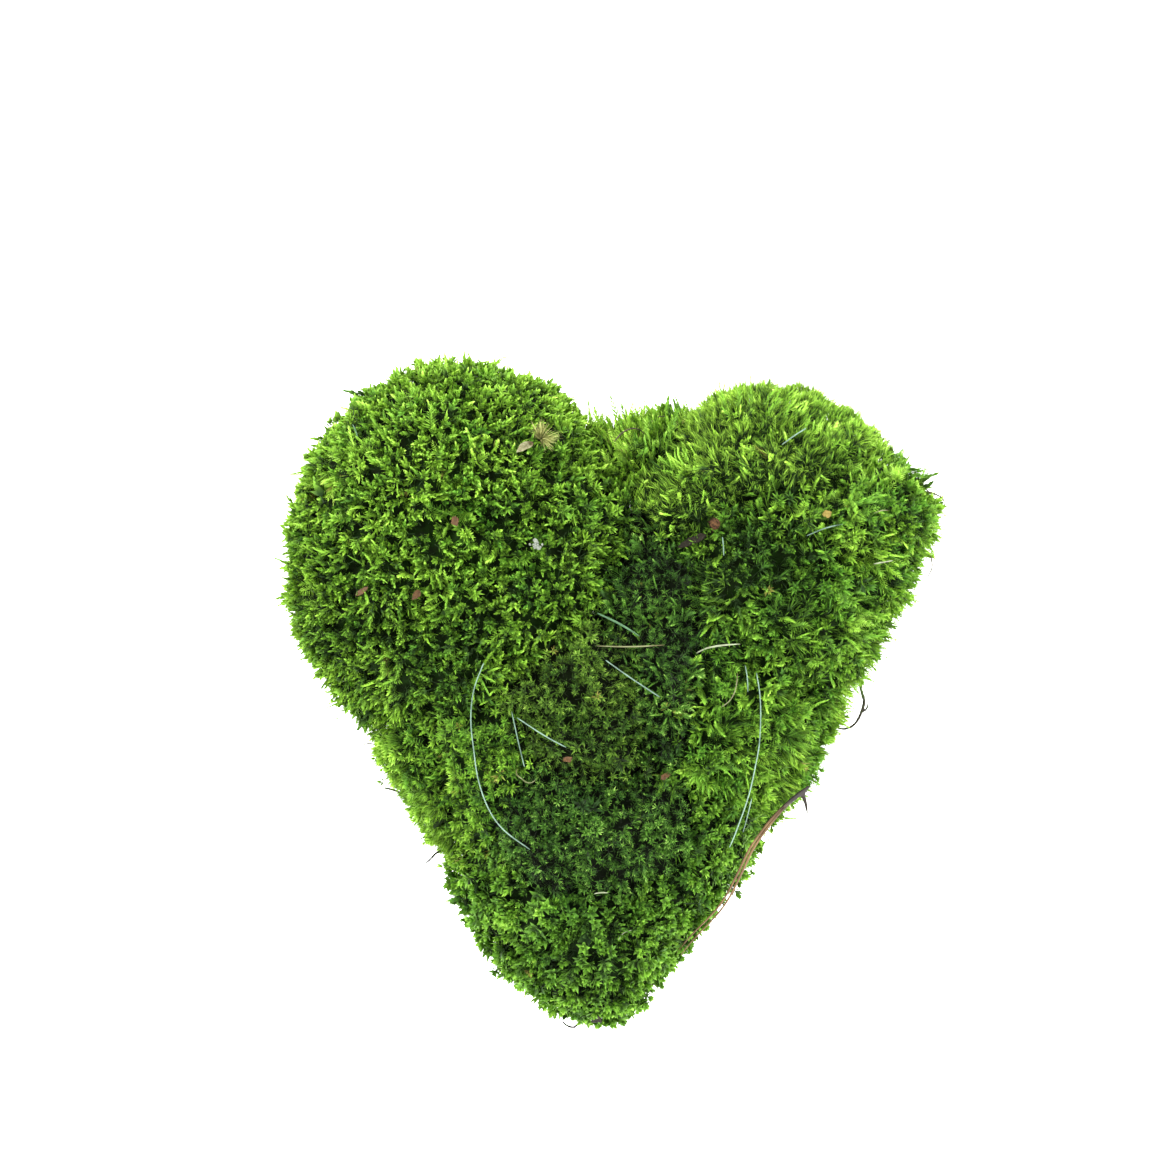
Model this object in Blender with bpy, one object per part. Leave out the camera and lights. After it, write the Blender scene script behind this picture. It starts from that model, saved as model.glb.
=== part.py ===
"""A heart-shaped clump of living moss, built at its real size.

Eleven moss cushions of different kinds stand side by side on one flat underside and swell
into a two-lobed heart. Fine binding wires, pine needles, dry stalks and scraps of forest
litter lie on the moss. +X is the heart's right lobe, +Y its notch, -Y its tip, and +Z
points out of its front. Lengths are named in millimetres and turned into metres as the
objects are made.
"""

import math
import random

import bmesh
import bpy
import numpy as np
from mathutils import Matrix, Vector, noise
from mathutils.bvhtree import BVHTree

MM = 0.001
SEED = 11

# The widest outline of the heart, as the moss tips reach it, anticlockwise from the notch
OUTLINE = [
    (3, 110), (-11, 113), (-23, 125), (-41, 130), (-64, 134), (-86, 129), (-104, 117),
    (-118, 101), (-127, 81), (-131, 55), (-129, 32), (-120, 13), (-109, -3), (-98, -19),
    (-86, -39), (-75, -56), (-67, -73), (-58, -93), (-46, -110), (-29, -124), (-9, -133),
    (8, -128), (24, -111), (40, -91), (56, -69), (71, -46), (84, -27), (96, -5),
    (106, 14), (116, 32), (126, 53), (131, 71), (126, 86), (115, 99), (98, 112),
    (76, 122), (52, 124), (33, 118), (18, 112),
]
OUTLINE_STEPS = 5
MIDDLE = (0, 22)
RING_COUNT = 22

# The section: the height of the widest line, the dome above it and how both sides round off
RIM_HEIGHT = 31
DOME_HEIGHT = 50
EDGE_ROUNDING = 46
CROWN_ROUNDING = 88
CROWN_SHARE = 0.3
FOOT_INSET = 27
FOOT_STEEPNESS = 1.16

# The valley that runs from the notch down between the two lobes
VALLEY_TOP = (4, 112)
VALLEY_END = (10, 18)
VALLEY_DEPTH = 15
VALLEY_WIDTH = 17

# The relief of the moss
SKIN_GRAIN = 6.0
LUMP_SIZE = 30
LUMP_HEIGHT = 3.0
GROOVE_DEPTH = 4.5
GROOVE_WIDTH = 7
SKIN_INSET = 1.6
TUFT_LEAST = 2.6
TUFT_MOST = 5.4
TUFT_JITTER = 1.5
TUFT_CLEAR = 6.0
TUFT_LOWEST = 8
KEPT_FACES = 0.45
BASE_FLATNESS = 1.3
GAP = 0.32

# Where the cushions meet. Each seam joins two meeting points, or ends outside the outline.
SEAM_STEPS = 4
SEAMS = {
    "lobe_notch": [(-8, 124), (-5, 108), (0, 94), (7, 76)],
    "notch_right": [(7, 76), (15, 90), (24, 102), (36, 128)],
    "lobe_dark": [(7, 76), (3, 56), (-8, 33)],
    "lobe_olive": [(-8, 33), (-26, 18), (-42, 2)],
    "lobe_star": [(-42, 2), (-64, -8), (-75, -10)],
    "lobe_rim": [(-75, -10), (-88, -12), (-118, -22)],
    "star_rim": [(-75, -10), (-69, -30), (-63, -50), (-65, -66)],
    "right_dark": [(7, 76), (21, 62)],
    "right_side": [(21, 62), (36, 70), (60, 80), (88, 86), (116, 98), (138, 110)],
    "side_dark": [(21, 62), (33, 46), (35, 22)],
    "side_middle": [(35, 22), (52, 12), (75, 6), (96, -2), (116, -14)],
    "dark_olive": [(-8, 33), (5, 18), (11, -2), (11, -28)],
    "dark_middle": [(35, 22), (31, -10), (23, -30)],
    "dark_lower": [(11, -28), (23, -30)],
    "olive_lower": [(11, -28), (-8, -31), (-30, -26)],
    "olive_star": [(-42, 2), (-38, -10), (-30, -26)],
    "star_lower": [(-30, -26), (-45, -42), (-46, -60)],
    "star_tip": [(-46, -60), (-65, -66)],
    "rim_tip": [(-65, -66), (-92, -74)],
    "lower_tip": [(23, -30), (32, -46), (24, -68), (-4, -79), (-32, -74), (-46, -60)],
    "middle_tip": [(23, -30), (40, -39), (58, -52), (84, -68)],
}

# Each cushion's way round: seams, with a minus for one walked backwards, and far corners
CUSHIONS = {
    "left_lobe_moss": [
        "lobe_notch", "lobe_dark", "lobe_olive", "lobe_star", "lobe_rim",
        (-160, -22), (-160, 160), (-8, 160),
    ],
    "notch_moss": ["-lobe_notch", (-8, 160), (36, 160), "-notch_right"],
    "right_lobe_moss": [
        "notch_right", (36, 160), (160, 160), (160, 110), "-right_side", "-right_dark",
    ],
    "right_side_moss": [
        "right_side", (160, 110), (160, -14), "-side_middle", "-side_dark",
    ],
    "dark_centre_moss": [
        "right_dark", "side_dark", "dark_middle", "-dark_lower", "-dark_olive", "-lobe_dark",
    ],
    "olive_centre_moss": ["lobe_olive", "olive_star", "-olive_lower", "-dark_olive"],
    "left_star_moss": ["lobe_star", "star_rim", "-star_tip", "-star_lower", "-olive_star"],
    "left_rim_moss": ["lobe_rim", (-150, -22), (-150, -74), "-rim_tip", "-star_rim"],
    "dark_lower_moss": ["olive_lower", "star_lower", "-lower_tip", "-dark_lower"],
    "right_middle_moss": [
        "dark_middle", "middle_tip", (150, -68), (150, -14), "-side_middle",
    ],
    "tip_moss": [
        "lower_tip", "star_tip", "rim_tip", (-92, -160), (84, -160), "-middle_tip",
    ],
}
CUT_DEPTH = 12
CUT_HEIGHT = 130

MOSS_COLOURS = {
    "left_lobe_moss": (0.055, 0.125, 0.018),
    "notch_moss": (0.075, 0.165, 0.024),
    "right_lobe_moss": (0.110, 0.215, 0.035),
    "right_side_moss": (0.065, 0.150, 0.020),
    "dark_centre_moss": (0.032, 0.068, 0.012),
    "olive_centre_moss": (0.058, 0.100, 0.018),
    "left_star_moss": (0.085, 0.165, 0.028),
    "left_rim_moss": (0.140, 0.275, 0.055),
    "dark_lower_moss": (0.030, 0.072, 0.011),
    "right_middle_moss": (0.080, 0.175, 0.026),
    "tip_moss": (0.060, 0.132, 0.019),
}
WIRE_GREEN = (0.420, 0.640, 0.500)
NEEDLE_BROWN = (0.330, 0.170, 0.070)
NEEDLE_GREEN = (0.160, 0.340, 0.130)
STALK_CREAM = (0.560, 0.480, 0.260)
BARK_BROWN = (0.070, 0.045, 0.028)
SEED_BROWN = (0.170, 0.080, 0.040)
LEAF_RUST = (0.300, 0.110, 0.040)
LICHEN_WHITE = (0.620, 0.640, 0.540)
STRAW_YELLOW = (0.500, 0.480, 0.180)
ROOT_BROWN = (0.120, 0.080, 0.045)
HAIR_WHITE = (0.700, 0.690, 0.620)

# Where the eye is that sees the clump from above and draws its plan points at rim height
EYE = Vector((-11.0, 44.4, 1283.0))

# How loose pieces are laid on the moss: they start clear of it and come to rest a gap away
SIGHT_LINE = Vector((0.11, 0.07, 1)).normalized()
UPWARDS = Vector((0, 0, 1))
PUSH_ROUNDS = 40
PUSH_SAMPLES = 7
PUSH_MOST = 1.0
SETTLE_START = 10.0
SETTLE_STEP = 0.2
SAG_SAMPLE = 0.7
SAG_REACH = 3
SAG_ROUNDS = 400
SAG_START = 6.0
END_DROP = 0.5
LAID_SPACING = 4.0
TWIG_SPACING = 3.0
MATT = 0.9
DRY = 0.75
WAXY = 0.5

# Fine binding wires, as plan points from end to end
WIRE_RADIUS = 0.28
WIRES = {
    "binding_wire_1": [
        (-51, 13), (-55, 2), (-56, -10), (-55, -21), (-53, -34), (-48.5, -46),
        (-42.5, -54), (-32.5, -62),
    ],
    "binding_wire_2": [(-40, -6.5), (-37, -20), (-34.8, -29)],
    "binding_wire_3": [(-38, -9), (-27, -16), (-18, -21)],
    "binding_wire_4": [(-2.5, 14), (7.5, 7), (19.5, -1)],
    "binding_wire_5": [
        (58, 9), (59.5, -2), (59, -18), (57.4, -28), (54.5, -40), (49.5, -55), (47, -61),
    ],
    "binding_wire_6": [(56.2, -41), (54.4, -48), (52.6, -55)],
    "binding_wire_7": [(68, 100), (73.5, 104), (78, 106.8)],
    "binding_wire_8": [(78, 63.6), (85.4, 66.8), (92.6, 68.4)],
    "binding_wire_9": [(44.4, 63.4), (44.8, 60), (45, 55.6)],
    "binding_wire_10": [(53.4, 12), (54.4, 7), (54.6, 1)],
}

# Dry stalks and single needles that lie over the moss: radius, colour and plan points
STALKS = {
    "green_needle": (0.5, NEEDLE_GREEN, [(-5.8, 32.8), (3.4, 28.4), (11.4, 23.4)]),
    "pale_grass_stalk": (0.34, STALK_CREAM, [(-6.2, 19.6), (7.4, 19.4), (21.4, 20)]),
    "curved_stalk": (0.42, STALK_CREAM, [(33.8, 16.6), (38, 18.8), (45.4, 20), (51.6, 20.4)]),
    "thin_stalk": (0.3, STALK_CREAM, [(50.4, 9), (49.8, 2), (47, -3), (43.4, -5.2)]),
    "cut_straw": (0.42, HAIR_WHITE, [(104.8, 52.4), (109, 53.2), (112.6, 53.8)]),
    "lobe_straw": (0.3, STALK_CREAM, [(104.8, 72.6), (108, 74), (111, 73.8)]),
    "lobe_needle": (0.35, NEEDLE_GREEN, [(-103.6, 108.4), (-102.2, 105.6), (-101.4, 102)]),
    "tip_stalk": (0.36, STALK_CREAM, [(-7, -79.6), (-4.2, -79), (-1.2, -79.2)]),
    "tip_thread": (0.28, HAIR_WHITE, [(2.8, -98.2), (4.8, -94.8), (8.2, -94.2)]),
}

# Rootlets and twigs that stand clear of the edge: radius, colour and points with heights
TWIGS = {
    "notch_rootlet": (
        0.34, ROOT_BROWN,
        [(1, 109, 52), (4, 112.5, 50), (8.4, 114.6, 48), (12, 113.6, 46), (13.6, 111, 46)],
    ),
    "notch_fibre": (0.3, ROOT_BROWN, [(15, 111, 44), (19.5, 114.5, 42), (23, 114, 42)]),
    "lobe_curl": (
        0.4, ROOT_BROWN,
        [(122.5, 81, 45), (127.8, 80.2, 44), (131.6, 78.4, 42), (132.6, 75.6, 40)],
    ),
    "pale_hair": (0.28, HAIR_WHITE, [(129.5, 73.5, 37), (133.4, 71.6, 36), (138, 68.4, 34)]),
    "edge_rootlet": (
        0.36, ROOT_BROWN,
        [(125.6, 55.4, 36), (128.4, 52.2, 35), (127.4, 49, 34), (125.2, 45.6, 34)],
    ),
    "left_rootlet": (0.34, ROOT_BROWN, [(-97, -21, 34), (-100.4, -20.4, 33), (-103, -21.6, 32)]),
    "left_twiglet": (
        0.4, BARK_BROWN,
        [(-68.4, -63, 34), (-71.6, -64.4, 33), (-72.8, -66.4, 32), (-75.2, -68.4, 32)],
    ),
    "rim_twig": (
        0.44, BARK_BROWN, [(-84, -38.4, 34), (-87.4, -37.8, 33), (-91, -37.2, 33)],
    ),
    "tip_twiglet": (
        0.42, BARK_BROWN,
        [(-13, -132.4, 33), (-15, -135, 32), (-18.4, -134, 31), (-20.4, -132, 31)],
    ),
}

# The dark twig that bows out of the right flank, and the spur on it
SIDE_TWIG = [
    (98.5, 4.4, 33), (101.2, -1.6, 32), (100, -7.4, 31), (97, -12.4, 31),
    (92.8, -13.8, 32), (90, -13, 33),
]
SIDE_TWIG_RADIUS = 0.55
SIDE_TWIG_SPUR = [(0, 0, 0), (1.8, 0.4, 0.3), (2.4, 3.4, 0.8)]

# The pine needles down the right flank, as plan points from their lower ends to the sheath
PINE_PLAN = [
    (26.6, -102.8), (31.4, -97.2), (43.4, -82.8), (49.8, -73.2), (53.4, -66.0), (56.2, -60.4),
    (63.4, -49.2), (69.4, -43.2), (76.4, -37.6),
]
PINE_RADIUS = 0.55
PINE_SPREAD = 1.5
PINE_SPACING = 7.0
BRACT_REACH = Vector((1.4, -9.5, 0.5))

# Flat scraps: centre, length, width, turn in plan in degrees, colour
SCRAPS = {
    "leaf_scrap_1": ((-99.4, 41.4), 6.4, 2.2, 24, LEAF_RUST),
    "leaf_scrap_2": ((-78.8, 40.2), 4.0, 2.4, 48, LEAF_RUST),
    "leaf_scrap_3": ((-62.2, 69.2), 3.8, 2.4, 110, LEAF_RUST),
    "leaf_scrap_4": ((-17.4, -25.2), 3.8, 2.4, 12, LEAF_RUST),
    "leaf_scrap_5": ((21.4, -33.0), 4.2, 2.2, 40, LEAF_RUST),
    "lichen_flake": ((-29.6, 59.6), 6.2, 3.8, 140, LICHEN_WHITE),
    "yellow_petal": ((86.9, 72.6), 3.8, 2.6, 0, STRAW_YELLOW),
    "bark_flake": ((33.0, 61.4), 12.0, 3.2, 16, BARK_BROWN),
    "tip_bark_chip": ((-6.0, -129.0), 6.0, 3.6, 95, BARK_BROWN),
    "dry_bud_scale": ((-35.4, 98.4), 9.0, 2.4, 35, STALK_CREAM),
}
SCRAP_THICKNESS = 0.6
SCRAP_CURL = 0.12
SCRAP_SHAPE = 10

SEED_CAP_CENTRE = (42.6, 68.4)
SEED_CAP_RADIUS = 2.3
STRAW_TUFT_CENTRE = (-27.2, 103.0)
STRAW_TUFT_RADIUS = 5.6
STRAW_TUFT_FANS = [130, 105, 82, 58, 12, -16, -44]
ROOT_TANGLE_RADIUS = 0.3
ROOT_TANGLE = [
    (-37.8, -29.6), (-38.2, -31.6), (-36.4, -33.0), (-34.4, -34.8), (-32.0, -35.2), (-30.0, -33.6),
]


def quarter_round(share):
    """Height of a quarter circle, 0 at its edge and 1 from share 1 on."""
    reach = np.clip(share, 0.0, 1.0)
    return np.sqrt(1.0 - (1.0 - reach) ** 2)


def smooth_line(points, steps, closed=False):
    """Points along a smooth curve that passes through every given point."""
    knots = [np.array(point, float) for point in points]
    if closed:
        knots = [knots[-1]] + knots + knots[:2]
    else:
        knots = [2 * knots[0] - knots[1]] + knots + [2 * knots[-1] - knots[-2]]
    line = []
    for before, start, end, after in zip(knots, knots[1:], knots[2:], knots[3:]):
        for step in range(steps):
            t = step / steps
            bend = 2 * before - 5 * start + 4 * end - after
            twist = 3 * (start - end) + after - before
            line.append(start + t * (end - before + t * (bend + t * twist)) / 2)
    if not closed:
        line.append(knots[-2])
    return np.array(line)


def evenly_spaced(line, spacing):
    """The same open line with points a set distance apart, ends kept."""
    steps = np.linalg.norm(np.diff(line, axis=0), axis=1)
    along = np.concatenate([[0.0], np.cumsum(steps)])
    count = max(2, round(along[-1] / spacing)) + 1
    wanted = np.linspace(0.0, along[-1], count)
    return np.stack([np.interp(wanted, along, axis) for axis in line.T], axis=1)


def distance_to_line(points, line):
    """Plan distance from each point to the nearest point of a line."""
    starts = line[:-1]
    spans = line[1:] - starts
    offset = points[:, None, :] - starts[None]
    share = (offset * spans).sum(2) / (spans ** 2).sum(1)
    share = np.clip(share, 0.0, 1.0)[..., None]
    return np.linalg.norm(offset - share * spans, axis=2).min(1)


def clear_scene():
    """Remove every object, so that the model stands alone."""
    for thing in list(bpy.data.objects):
        bpy.data.objects.remove(thing, do_unlink=True)


def principled(name, colour, roughness):
    """A plain non-metal material of one colour."""
    material = bpy.data.materials.new(name)
    material.use_nodes = True
    shader = material.node_tree.nodes["Principled BSDF"]
    shader.inputs["Base Color"].default_value = (*colour, 1.0)
    shader.inputs["Roughness"].default_value = roughness
    shader.inputs["Metallic"].default_value = 0.0
    material.diffuse_color = (*colour, 1.0)
    return material


def new_object(name, data, root, material=None):
    """Link an object with its own material under the clump's root."""
    thing = bpy.data.objects.new(name, data)
    if material:
        data.materials.append(material)
    thing.parent = root
    bpy.context.scene.collection.objects.link(thing)
    return thing


def mesh_from(form, name):
    """Turn a finished bmesh, drawn in millimetres, into a mesh in metres."""
    bmesh.ops.scale(form, vec=Vector((MM, MM, MM)), verts=form.verts)
    mesh = bpy.data.meshes.new(name)
    form.to_mesh(mesh)
    form.free()
    return mesh


def outline():
    """The closed widest outline of the heart in plan."""
    line = smooth_line(OUTLINE, OUTLINE_STEPS, closed=True)
    return np.vstack([line, line[:1]])


def seam_lines():
    """Every seam as a smooth plan line."""
    return {name: smooth_line(points, SEAM_STEPS) for name, points in SEAMS.items()}


def valley_drop(plan):
    """How far the valley between the lobes lowers the top at each plan point."""
    top = np.array(VALLEY_TOP, float)
    end = np.array(VALLEY_END, float)
    run = end - top
    share = np.clip(((plan - top) @ run) / (run @ run), 0.0, 1.0)
    away = np.linalg.norm(plan - top - share[:, None] * run, axis=1)
    return VALLEY_DEPTH * (1 - share) ** 0.7 * np.exp(-(away / VALLEY_WIDTH) ** 2)


def top_height(plan, inside):
    """Height of the domed front over plan points that lie this far inside the outline."""
    edge = (1 - CROWN_SHARE) * quarter_round(inside / EDGE_ROUNDING)
    crown = CROWN_SHARE * quarter_round(inside / CROWN_ROUNDING)
    fade = quarter_round(inside / GROOVE_WIDTH)
    return RIM_HEIGHT + DOME_HEIGHT * (edge + crown) - fade * valley_drop(plan)


def foot_height(inside):
    """Height of the underside, which draws in below the widest line to the flat base."""
    return np.maximum(0.0, RIM_HEIGHT * (1 - FOOT_STEEPNESS * quarter_round(inside / FOOT_INSET)))


def smooth_form():
    """The smooth heart as a closed bmesh of rings round its middle."""
    edge = outline()
    rim = edge[:-1]
    middle = np.array(MIDDLE, float)
    form = bmesh.new()

    def ring_at(share, top):
        """One ring of vertices at a share of the way from the middle to the rim."""
        plan = middle + (rim - middle) * share
        inside = distance_to_line(plan, edge)
        heights = top_height(plan, inside) if top else foot_height(inside)
        return [form.verts.new((x, y, z)) for (x, y), z in zip(plan, heights)]

    shares = [math.sin(math.pi / 2 * k / RING_COUNT) for k in range(1, RING_COUNT)]
    widest = [form.verts.new((x, y, RIM_HEIGHT)) for x, y in rim]
    tops = [ring_at(share, True) for share in shares] + [widest]
    feet = [ring_at(share, False) for share in shares] + [widest]
    middle_row = middle[None]
    depth = distance_to_line(middle_row, edge)
    crown = form.verts.new((*middle, top_height(middle_row, depth)[0]))
    base = form.verts.new((*middle, 0.0))
    count = len(rim)
    for rings, pole, flip in ((tops, crown, False), (feet, base, True)):
        for k in range(count):
            after = (k + 1) % count
            fan = [pole, rings[0][k], rings[0][after]]
            form.faces.new(reversed(fan) if flip else fan)
            for inner, outer in zip(rings, rings[1:]):
                quad = [inner[k], outer[k], outer[after], inner[after]]
                form.faces.new(reversed(quad) if flip else quad)
    bmesh.ops.recalc_face_normals(form, faces=form.faces)
    return form


def remade(form, root, kind, **settings):
    """The same form after one modifier has gone over its mesh."""
    guide = new_object("guide", mesh_from(form, "guide"), root)
    modifier = guide.modifiers.new(kind.title(), kind)
    for setting, value in settings.items():
        setattr(modifier, setting, value)
    depsgraph = bpy.context.evaluated_depsgraph_get()
    result = bmesh.new()
    result.from_object(guide, depsgraph)
    bmesh.ops.scale(result, vec=Vector((1 / MM, 1 / MM, 1 / MM)), verts=result.verts)
    bpy.data.objects.remove(guide, do_unlink=True)
    return result


def shape_relief(form, seams):
    """Swell the skin into soft lumps and draw it in along every seam."""
    form.normal_update()
    plan = np.array([vert.co.xy[:] for vert in form.verts])
    away = np.min([distance_to_line(plan, line) for line in seams.values()], axis=0)
    grooves = GROOVE_DEPTH * np.exp(-(away / GROOVE_WIDTH) ** 2)
    moves = []
    for vert, groove in zip(form.verts, grooves):
        lump = LUMP_HEIGHT * noise.noise(vert.co / LUMP_SIZE * 2)
        facing_up = max(0.0, min(1.0, vert.normal.z * 0.7 + 0.5))
        above = max(0.0, min(1.0, vert.co.z / RIM_HEIGHT))
        moves.append(vert.normal * (above * (lump - SKIN_INSET) - facing_up * groove))
    for vert, move in zip(form.verts, moves):
        vert.co += move


def raise_tufts(form, seams, rng):
    """Crumple the skin into close pointed tufts, lower beside the seams and underneath."""
    form.normal_update()
    plan = np.array([vert.co.xy[:] for vert in form.verts])
    away = np.min([distance_to_line(plan, line) for line in seams.values()], axis=0)
    order = list(zip(form.verts, away))
    rng.shuffle(order)
    taken = set()
    moves = []
    for vert, distance in order:
        exposed = min(1.0, distance / TUFT_CLEAR) * min(1.0, max(0.0, vert.co.z / TUFT_LOWEST - 1))
        sideways = Vector([rng.uniform(-1, 1) for _ in range(3)]).cross(vert.normal)
        moves.append((vert, sideways * TUFT_JITTER * exposed))
        if vert in taken:
            continue
        taken.update(corner for face in vert.link_faces for corner in face.verts)
        height = rng.uniform(TUFT_LEAST, TUFT_MOST)
        moves.append((vert, vert.normal * height * exposed))
    for vert, move in moves:
        vert.co += move


def flatten_base(form):
    """Press the underside flat at height 0 and clear the points inside it."""
    for vert in form.verts:
        if vert.co.z < BASE_FLATNESS:
            vert.co.z = 0.0
    flat = {v for v in form.verts if v.co.z == 0.0}
    inner = [v for v in flat if all(e.other_vert(v) in flat for e in v.link_edges)]
    bmesh.ops.dissolve_verts(form, verts=inner, use_face_split=False, use_boundary_tear=False)


def moss_form(root, seams):
    """The whole heart of moss in one closed form, in millimetres."""
    form = remade(smooth_form(), root, "REMESH", mode="VOXEL", voxel_size=SKIN_GRAIN * MM)
    shape_relief(form, seams)
    raise_tufts(form, seams, random.Random(SEED))
    form = remade(form, root, "DECIMATE", ratio=KEPT_FACES)
    flatten_base(form)
    bmesh.ops.recalc_face_normals(form, faces=form.faces)
    return form


def way_round(steps, seams):
    """A cushion's closed plan loop, anticlockwise and drawn in by half the gap."""
    loop = []
    for step in steps:
        if isinstance(step, tuple):
            loop.append(np.array(step, float))
        elif step.startswith("-"):
            loop.extend(seams[step[1:]][::-1])
        else:
            loop.extend(seams[step])
    kept = [p for p, q in zip(loop, loop[1:] + loop[:1]) if np.linalg.norm(p - q) > MM]
    ring = np.array(kept)
    ahead = np.roll(ring, -1, axis=0)
    area = (ring[:, 0] * ahead[:, 1] - ring[:, 1] * ahead[:, 0]).sum()
    if area < 0:
        ring = ring[::-1]
    along = np.roll(ring, -1, axis=0) - ring
    along /= np.linalg.norm(along, axis=1)[:, None]
    inward = np.stack([-along[:, 1], along[:, 0]], axis=1)
    earlier = np.roll(inward, 1, axis=0)
    meeting = inward + earlier
    reach = 1 + (inward * earlier).sum(1)
    return ring + meeting / np.maximum(reach, 0.4)[:, None] * GAP / 2


def cutter_for(name, ring, root):
    """An upright prism over a cushion's loop, which keeps only that cushion."""
    form = bmesh.new()
    floor = [form.verts.new((x, y, -CUT_DEPTH)) for x, y in ring]
    face = form.faces.new(floor)
    grown = bmesh.ops.extrude_face_region(form, geom=[face])["geom"]
    risen = [part for part in grown if isinstance(part, bmesh.types.BMVert)]
    bmesh.ops.translate(form, vec=Vector((0, 0, CUT_HEIGHT + CUT_DEPTH)), verts=risen)
    bmesh.ops.recalc_face_normals(form, faces=form.faces)
    cutter = new_object(name + "_cutter", mesh_from(form, name + "_cutter"), root)
    cutter.hide_render = True
    cutter.display_type = "WIRE"
    return cutter


def make_cushions(form, root, seams):
    """One object for each moss cushion, cut out of the whole form along its seams."""
    for name, steps in CUSHIONS.items():
        mesh = mesh_from(form.copy(), name)
        cushion = new_object(name, mesh, root, principled(name, MOSS_COLOURS[name], MATT))
        cut = cushion.modifiers.new("Seams", "BOOLEAN")
        cut.operation = "INTERSECT"
        cut.solver = "EXACT"
        cut.object = cutter_for(name, way_round(steps, seams), root)


def clearance(skin, point):
    """Distance from a point to the moss, below zero inside it."""
    crossings = 0
    start = point
    hit = skin.ray_cast(start, SIGHT_LINE)[0]
    while hit:
        crossings += 1
        start = hit + SIGHT_LINE * 0.001
        hit = skin.ray_cast(start, SIGHT_LINE)[0]
    distance = skin.find_nearest(point)[3]
    return -distance if crossings % 2 else distance


def surface_height(skin, x, y):
    """Height of the moss over a plan point, or the rim's height outside the outline."""
    hit = skin.ray_cast(Vector((x, y, CUT_HEIGHT)), Vector((0, 0, -1)))[0]
    return hit.z if hit else RIM_HEIGHT


def seen_at(skin, x, y):
    """The spot on the moss that the eye sees through a plan point, as plan coordinates."""
    hit = skin.ray_cast(EYE, Vector((x, y, RIM_HEIGHT)) - EYE)[0]
    return (hit.x, hit.y) if hit else (x, y)


def laid_over(skin, plan, radius, spacing=LAID_SPACING):
    """A plan route laid over the moss like a drawn wire, on its highest tufts."""
    spots = [seen_at(skin, x, y) for x, y in plan]
    fine = evenly_spaced(smooth_line(spots, 8), SAG_SAMPLE)
    least = np.array([surface_height(skin, x, y) for x, y in fine])
    padded = np.pad(least, SAG_REACH, mode="edge")
    windows = [padded[k:k + len(least)] for k in range(2 * SAG_REACH + 1)]
    floor = np.max(windows, axis=0) + radius + GAP
    heights = floor + SAG_START
    for _ in range(SAG_ROUNDS):
        middle = (heights[:-2] + heights[2:]) / 2
        heights[1:-1] = np.maximum(floor[1:-1], middle)
        heights[0] = max(floor[0], heights[1] - END_DROP)
        heights[-1] = max(floor[-1], heights[-2] - END_DROP)
    line = evenly_spaced(np.column_stack([fine, heights]), spacing)
    return pushed_clear(skin, line, radius, UPWARDS)


def spare_room(skin, points, radius):
    """The least room between the moss and a tube along the points, beyond the gap they keep."""
    least = CUT_HEIGHT
    for start, end in zip(points, points[1:]):
        for share in np.linspace(0, 1, PUSH_SAMPLES):
            least = min(least, clearance(skin, start.lerp(end, share)) - radius - GAP)
    return least


def pushed_clear(skin, line, radius, way):
    """The same line, bent a set way until a tube along it is clear of the moss."""
    points = [Vector(point) for point in line]
    needed = radius + GAP
    for _ in range(PUSH_ROUNDS):
        moved = False
        for start, end in zip(points, points[1:]):
            for share in np.linspace(0, 1, PUSH_SAMPLES):
                distance = clearance(skin, start.lerp(end, share))
                if distance < needed:
                    push = way * min(PUSH_MOST, needed - distance + SETTLE_STEP / 10)
                    start += push * (1 - share)
                    end += push * share
                    moved = True
        if not moved:
            break
    return points


def seated(skin, line, radius):
    """The same line at the edge of the clump, brought sideways until it meets the moss."""
    points = [Vector(point) for point in line]
    way = points[0] - Vector((*MIDDLE, points[0].z))
    way.normalize()
    points = pushed_clear(skin, points, radius, way)
    for _ in range(PUSH_ROUNDS):
        spare = spare_room(skin, points, radius)
        if spare < SETTLE_STEP / 2:
            break
        points = [point - way * spare for point in points]
    return pushed_clear(skin, points, radius, way)


def resting_frame(skin, plan, reach):
    """The place on the moss over a plan point, and the way out of it over a small reach."""
    x, y = seen_at(skin, *plan)
    slope_x = surface_height(skin, x + reach, y) - surface_height(skin, x - reach, y)
    slope_y = surface_height(skin, x, y + reach) - surface_height(skin, x, y - reach)
    out = Vector((-slope_x, -slope_y, 2 * reach)).normalized()
    return Vector((x, y, surface_height(skin, x, y))), out


def settled(skin, forms, plan, reach):
    """Stand small forms on the moss together, lowered until one of them all but touches."""
    place, out = resting_frame(skin, plan, reach)
    turned = UPWARDS.rotation_difference(out).to_matrix().to_4x4()
    start = Matrix.Translation(place + out * SETTLE_START) @ turned
    for form in forms:
        form.transform(start)
    for _ in range(round(2 * SETTLE_START / SETTLE_STEP)):
        ahead = Matrix.Translation(-out * (GAP + SETTLE_STEP))
        touching = False
        for form in forms:
            form.transform(ahead)
            touching = touching or bool(BVHTree.FromBMesh(form).overlap(skin))
            form.transform(Matrix.Translation(out * GAP))
        if touching:
            break
    for form in forms:
        form.transform(Matrix.Translation(out * SETTLE_STEP))
    return forms


def tube(name, points, radii, colour, root):
    """A round tube through points, its radii spread evenly from end to end."""
    curve = bpy.data.curves.new(name, "CURVE")
    curve.dimensions = "3D"
    curve.bevel_depth = MM
    curve.bevel_resolution = 0
    curve.use_fill_caps = True
    spline = curve.splines.new("POLY")
    spline.points.add(len(points) - 1)
    along = np.linspace(0, 1, len(points))
    spread = np.interp(along, np.linspace(0, 1, len(radii)), radii)
    for point, place, radius in zip(spline.points, points, spread):
        point.co = (*(place * MM), 1.0)
        point.radius = radius
    return new_object(name, curve, root, principled(name, colour, WAXY))


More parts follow.
